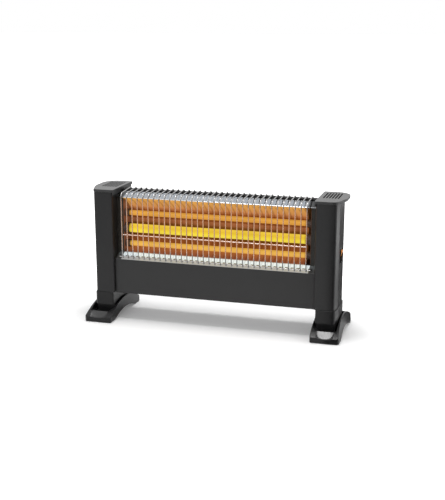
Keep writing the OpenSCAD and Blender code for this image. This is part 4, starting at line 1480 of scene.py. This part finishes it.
@dataclass
class Studio:
    """Camera, lamps, pale floor, white surroundings and the cards that glossy faces mirror.

    The floor's lift makes it white to the camera further out: lift_out over the range lift_span of
    the distance from the middle, measured with the factors lift_stretch along the axes.
    """

    camera_place: Point = (0.5870, -1.97605, 0.6897)
    turn_left: float = 16.292
    look_down: float = 14.192
    lens: float = 67.137
    film: float = 36.0
    sight: float = 200.0
    floor_half: float = 30.0
    floor_colour: Colour = (0.86, 0.86, 0.86)
    lift_stretch: Point = (1.2, 1.7, 1.0)
    lift_span: Range = (0.33, 0.76)
    lift_out: Range = (0.15, 1.0)
    soft_light: float = 0.45
    card_height: float = 0.0004
    card_span: Range = (0.3, 1.3)
    cards: tuple[Card, ...] = (
        Card("bright_card", ((0.36, 0.16), (0.46, 0.09), (1.35, 0.95), (0.85, 1.25)), 0.7, 3.0),
        Card("dark_card", ((0.300, 0.06), (0.345, 0.14), (0.84, 1.28), (0.30, 1.5))),
        Card("front_dark_card", ((0.262, -0.10), (0.06, -1.8), (1.8, -1.8), (1.0, -0.12))),
    )
    lights: tuple[Lamp, ...] = (
        Lamp("top_lamp", (-0.05, 0.05, 1.95), (-0.05, 0.05, 0.0), (0.9, 0.8), 26.0),
        Lamp("right_lamp", (1.9, 0.1, 0.8), (0.2, 0.0, 0.15), (1.0, 1.0), 8.0),
        Lamp("front_lamp", (-0.6, -2.4, 1.6), (0.0, 0.0, 0.15), (1.6, 1.6), 12.0),
    )

    def build(self) -> None:
        """Builds camera, surroundings, floor, lamps and cards."""
        self.camera()
        self.surroundings()
        self.floor()
        for light in self.lights:
            self.lamp(light)
        for card in self.cards:
            self.card(card)

    def camera(self) -> None:
        """Places the camera at the photograph's angle."""
        data = bpy.data.cameras.new("camera")
        data.lens = self.lens
        data.sensor_width = self.film
        data.sensor_fit = "AUTO"
        data.clip_end = self.sight
        camera = bpy.data.objects.new("camera", data)
        camera.location = self.camera_place
        tilt, turn = math.radians(90.0 - self.look_down), math.radians(self.turn_left)
        camera.rotation_euler = (tilt, 0.0, turn)
        bpy.context.scene.collection.objects.link(camera)
        bpy.context.scene.camera = camera

    def surroundings(self) -> None:
        """White for what the camera and glossy surfaces see, softer for the light that it gives."""
        world = bpy.data.worlds.new("studio")
        bpy.context.scene.world = world
        world.use_nodes = True
        tree = world.node_tree
        tree.nodes.clear()
        output = tree.nodes.new("ShaderNodeOutputWorld")
        path = tree.nodes.new("ShaderNodeLightPath")
        mixer = tree.nodes.new("ShaderNodeMixShader")
        for number, strength in ((1, self.soft_light), (2, 1.0)):
            white = tree.nodes.new("ShaderNodeBackground")
            white.inputs["Color"].default_value = (1.0, 1.0, 1.0, 1.0)
            white.inputs["Strength"].default_value = strength
            tree.links.new(white.outputs[0], mixer.inputs[number])
        seen = path.outputs["Is Camera Ray"]
        for ray in ("Is Glossy Ray", "Is Transmission Ray"):
            either = tree.nodes.new("ShaderNodeMath")
            either.operation = "MAXIMUM"
            tree.links.new(seen, either.inputs[0])
            tree.links.new(path.outputs[ray], either.inputs[1])
            seen = either.outputs[0]
        tree.links.new(seen, mixer.inputs[0])
        tree.links.new(mixer.outputs[0], output.inputs["Surface"])

    def floor(self) -> None:
        """A pale floor that keeps the heater's shadow and is white further out."""
        s = self.floor_half
        points = np.array([[-s, -s, 0.0], [s, -s, 0.0], [s, s, 0.0], [-s, s, 0.0]])
        floor = make_piece("studio_floor", points, [np.array([[0, 1, 2, 3]])], smooth=False)
        n = Nodes("pale_floor")
        n.set(base=self.floor_colour, roughness=0.8, specular=0.1)
        path = n.add("ShaderNodeLightPath")
        white = n.add("ShaderNodeEmission")
        white.inputs["Color"].default_value = (1.0, 1.0, 1.0, 1.0)
        distance = n.add("ShaderNodeVectorMath", operation="LENGTH")
        n.link(n.stretched(self.lift_stretch), distance.inputs[0])
        lift = n.spread(distance.outputs["Value"], *self.lift_span, self.lift_out, smooth=True)
        n.link(n.product(path.outputs["Is Camera Ray"], lift), white.inputs["Strength"])
        adder = n.add("ShaderNodeAddShader")
        n.link(n.shader.outputs[0], adder.inputs[0])
        n.link(white.outputs[0], adder.inputs[1])
        n.link(adder.outputs[0], n.output.inputs["Surface"])
        floor.data.materials.append(n.material)

    def card(self, sheet: Card) -> None:
        """Lays a card on the floor.

        Args:
            sheet: The card's corners and brightness.
        """
        points = np.array([[x, y, self.card_height] for x, y in sheet.corners])
        card = make_piece(sheet.name, points, [np.array([[0, 1, 2, 3]])], smooth=False)
        n = Nodes(sheet.name)
        n.set(base=(0.0, 0.0, 0.0), specular=0.0, roughness=1.0, emission=(1.0, 1.0, 1.0))
        n.set(strength=n.spread(n.axis("Y"), *self.card_span, (sheet.near, sheet.far)))
        card.data.materials.append(n.material)
        card.visible_camera = card.visible_diffuse = False
        card.visible_shadow = card.visible_transmission = False

    def lamp(self, light: Lamp) -> None:
        """Hangs a lamp.

        Args:
            light: The lamp's place, target, size and power.
        """
        data = bpy.data.lights.new(light.name, "AREA")
        data.shape = "RECTANGLE"
        data.size, data.size_y = light.size
        data.energy = light.power
        lamp = bpy.data.objects.new(light.name, data)
        lamp.location = light.place
        way = Vector(light.target) - Vector(light.place)
        lamp.rotation_euler = way.to_track_quat("-Z", "Y").to_euler()
        bpy.context.scene.collection.objects.link(lamp)


def main() -> None:
    """Builds the studio and every sub-assembly."""
    logging.basicConfig(level=logging.INFO, format="%(name)s: %(message)s")
    bpy.context.scene.view_settings.view_transform = "Standard"
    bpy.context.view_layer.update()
    Studio().build()
    shop = Workshop()
    for part in (EndTowers, SheetBody, Guard, HeatingTubes, PowerSwitch, TipSwitch, Wiring):
        part(shop).build()
        log.info("built %s", part.__name__)


if __name__ == "__main__":
    main()
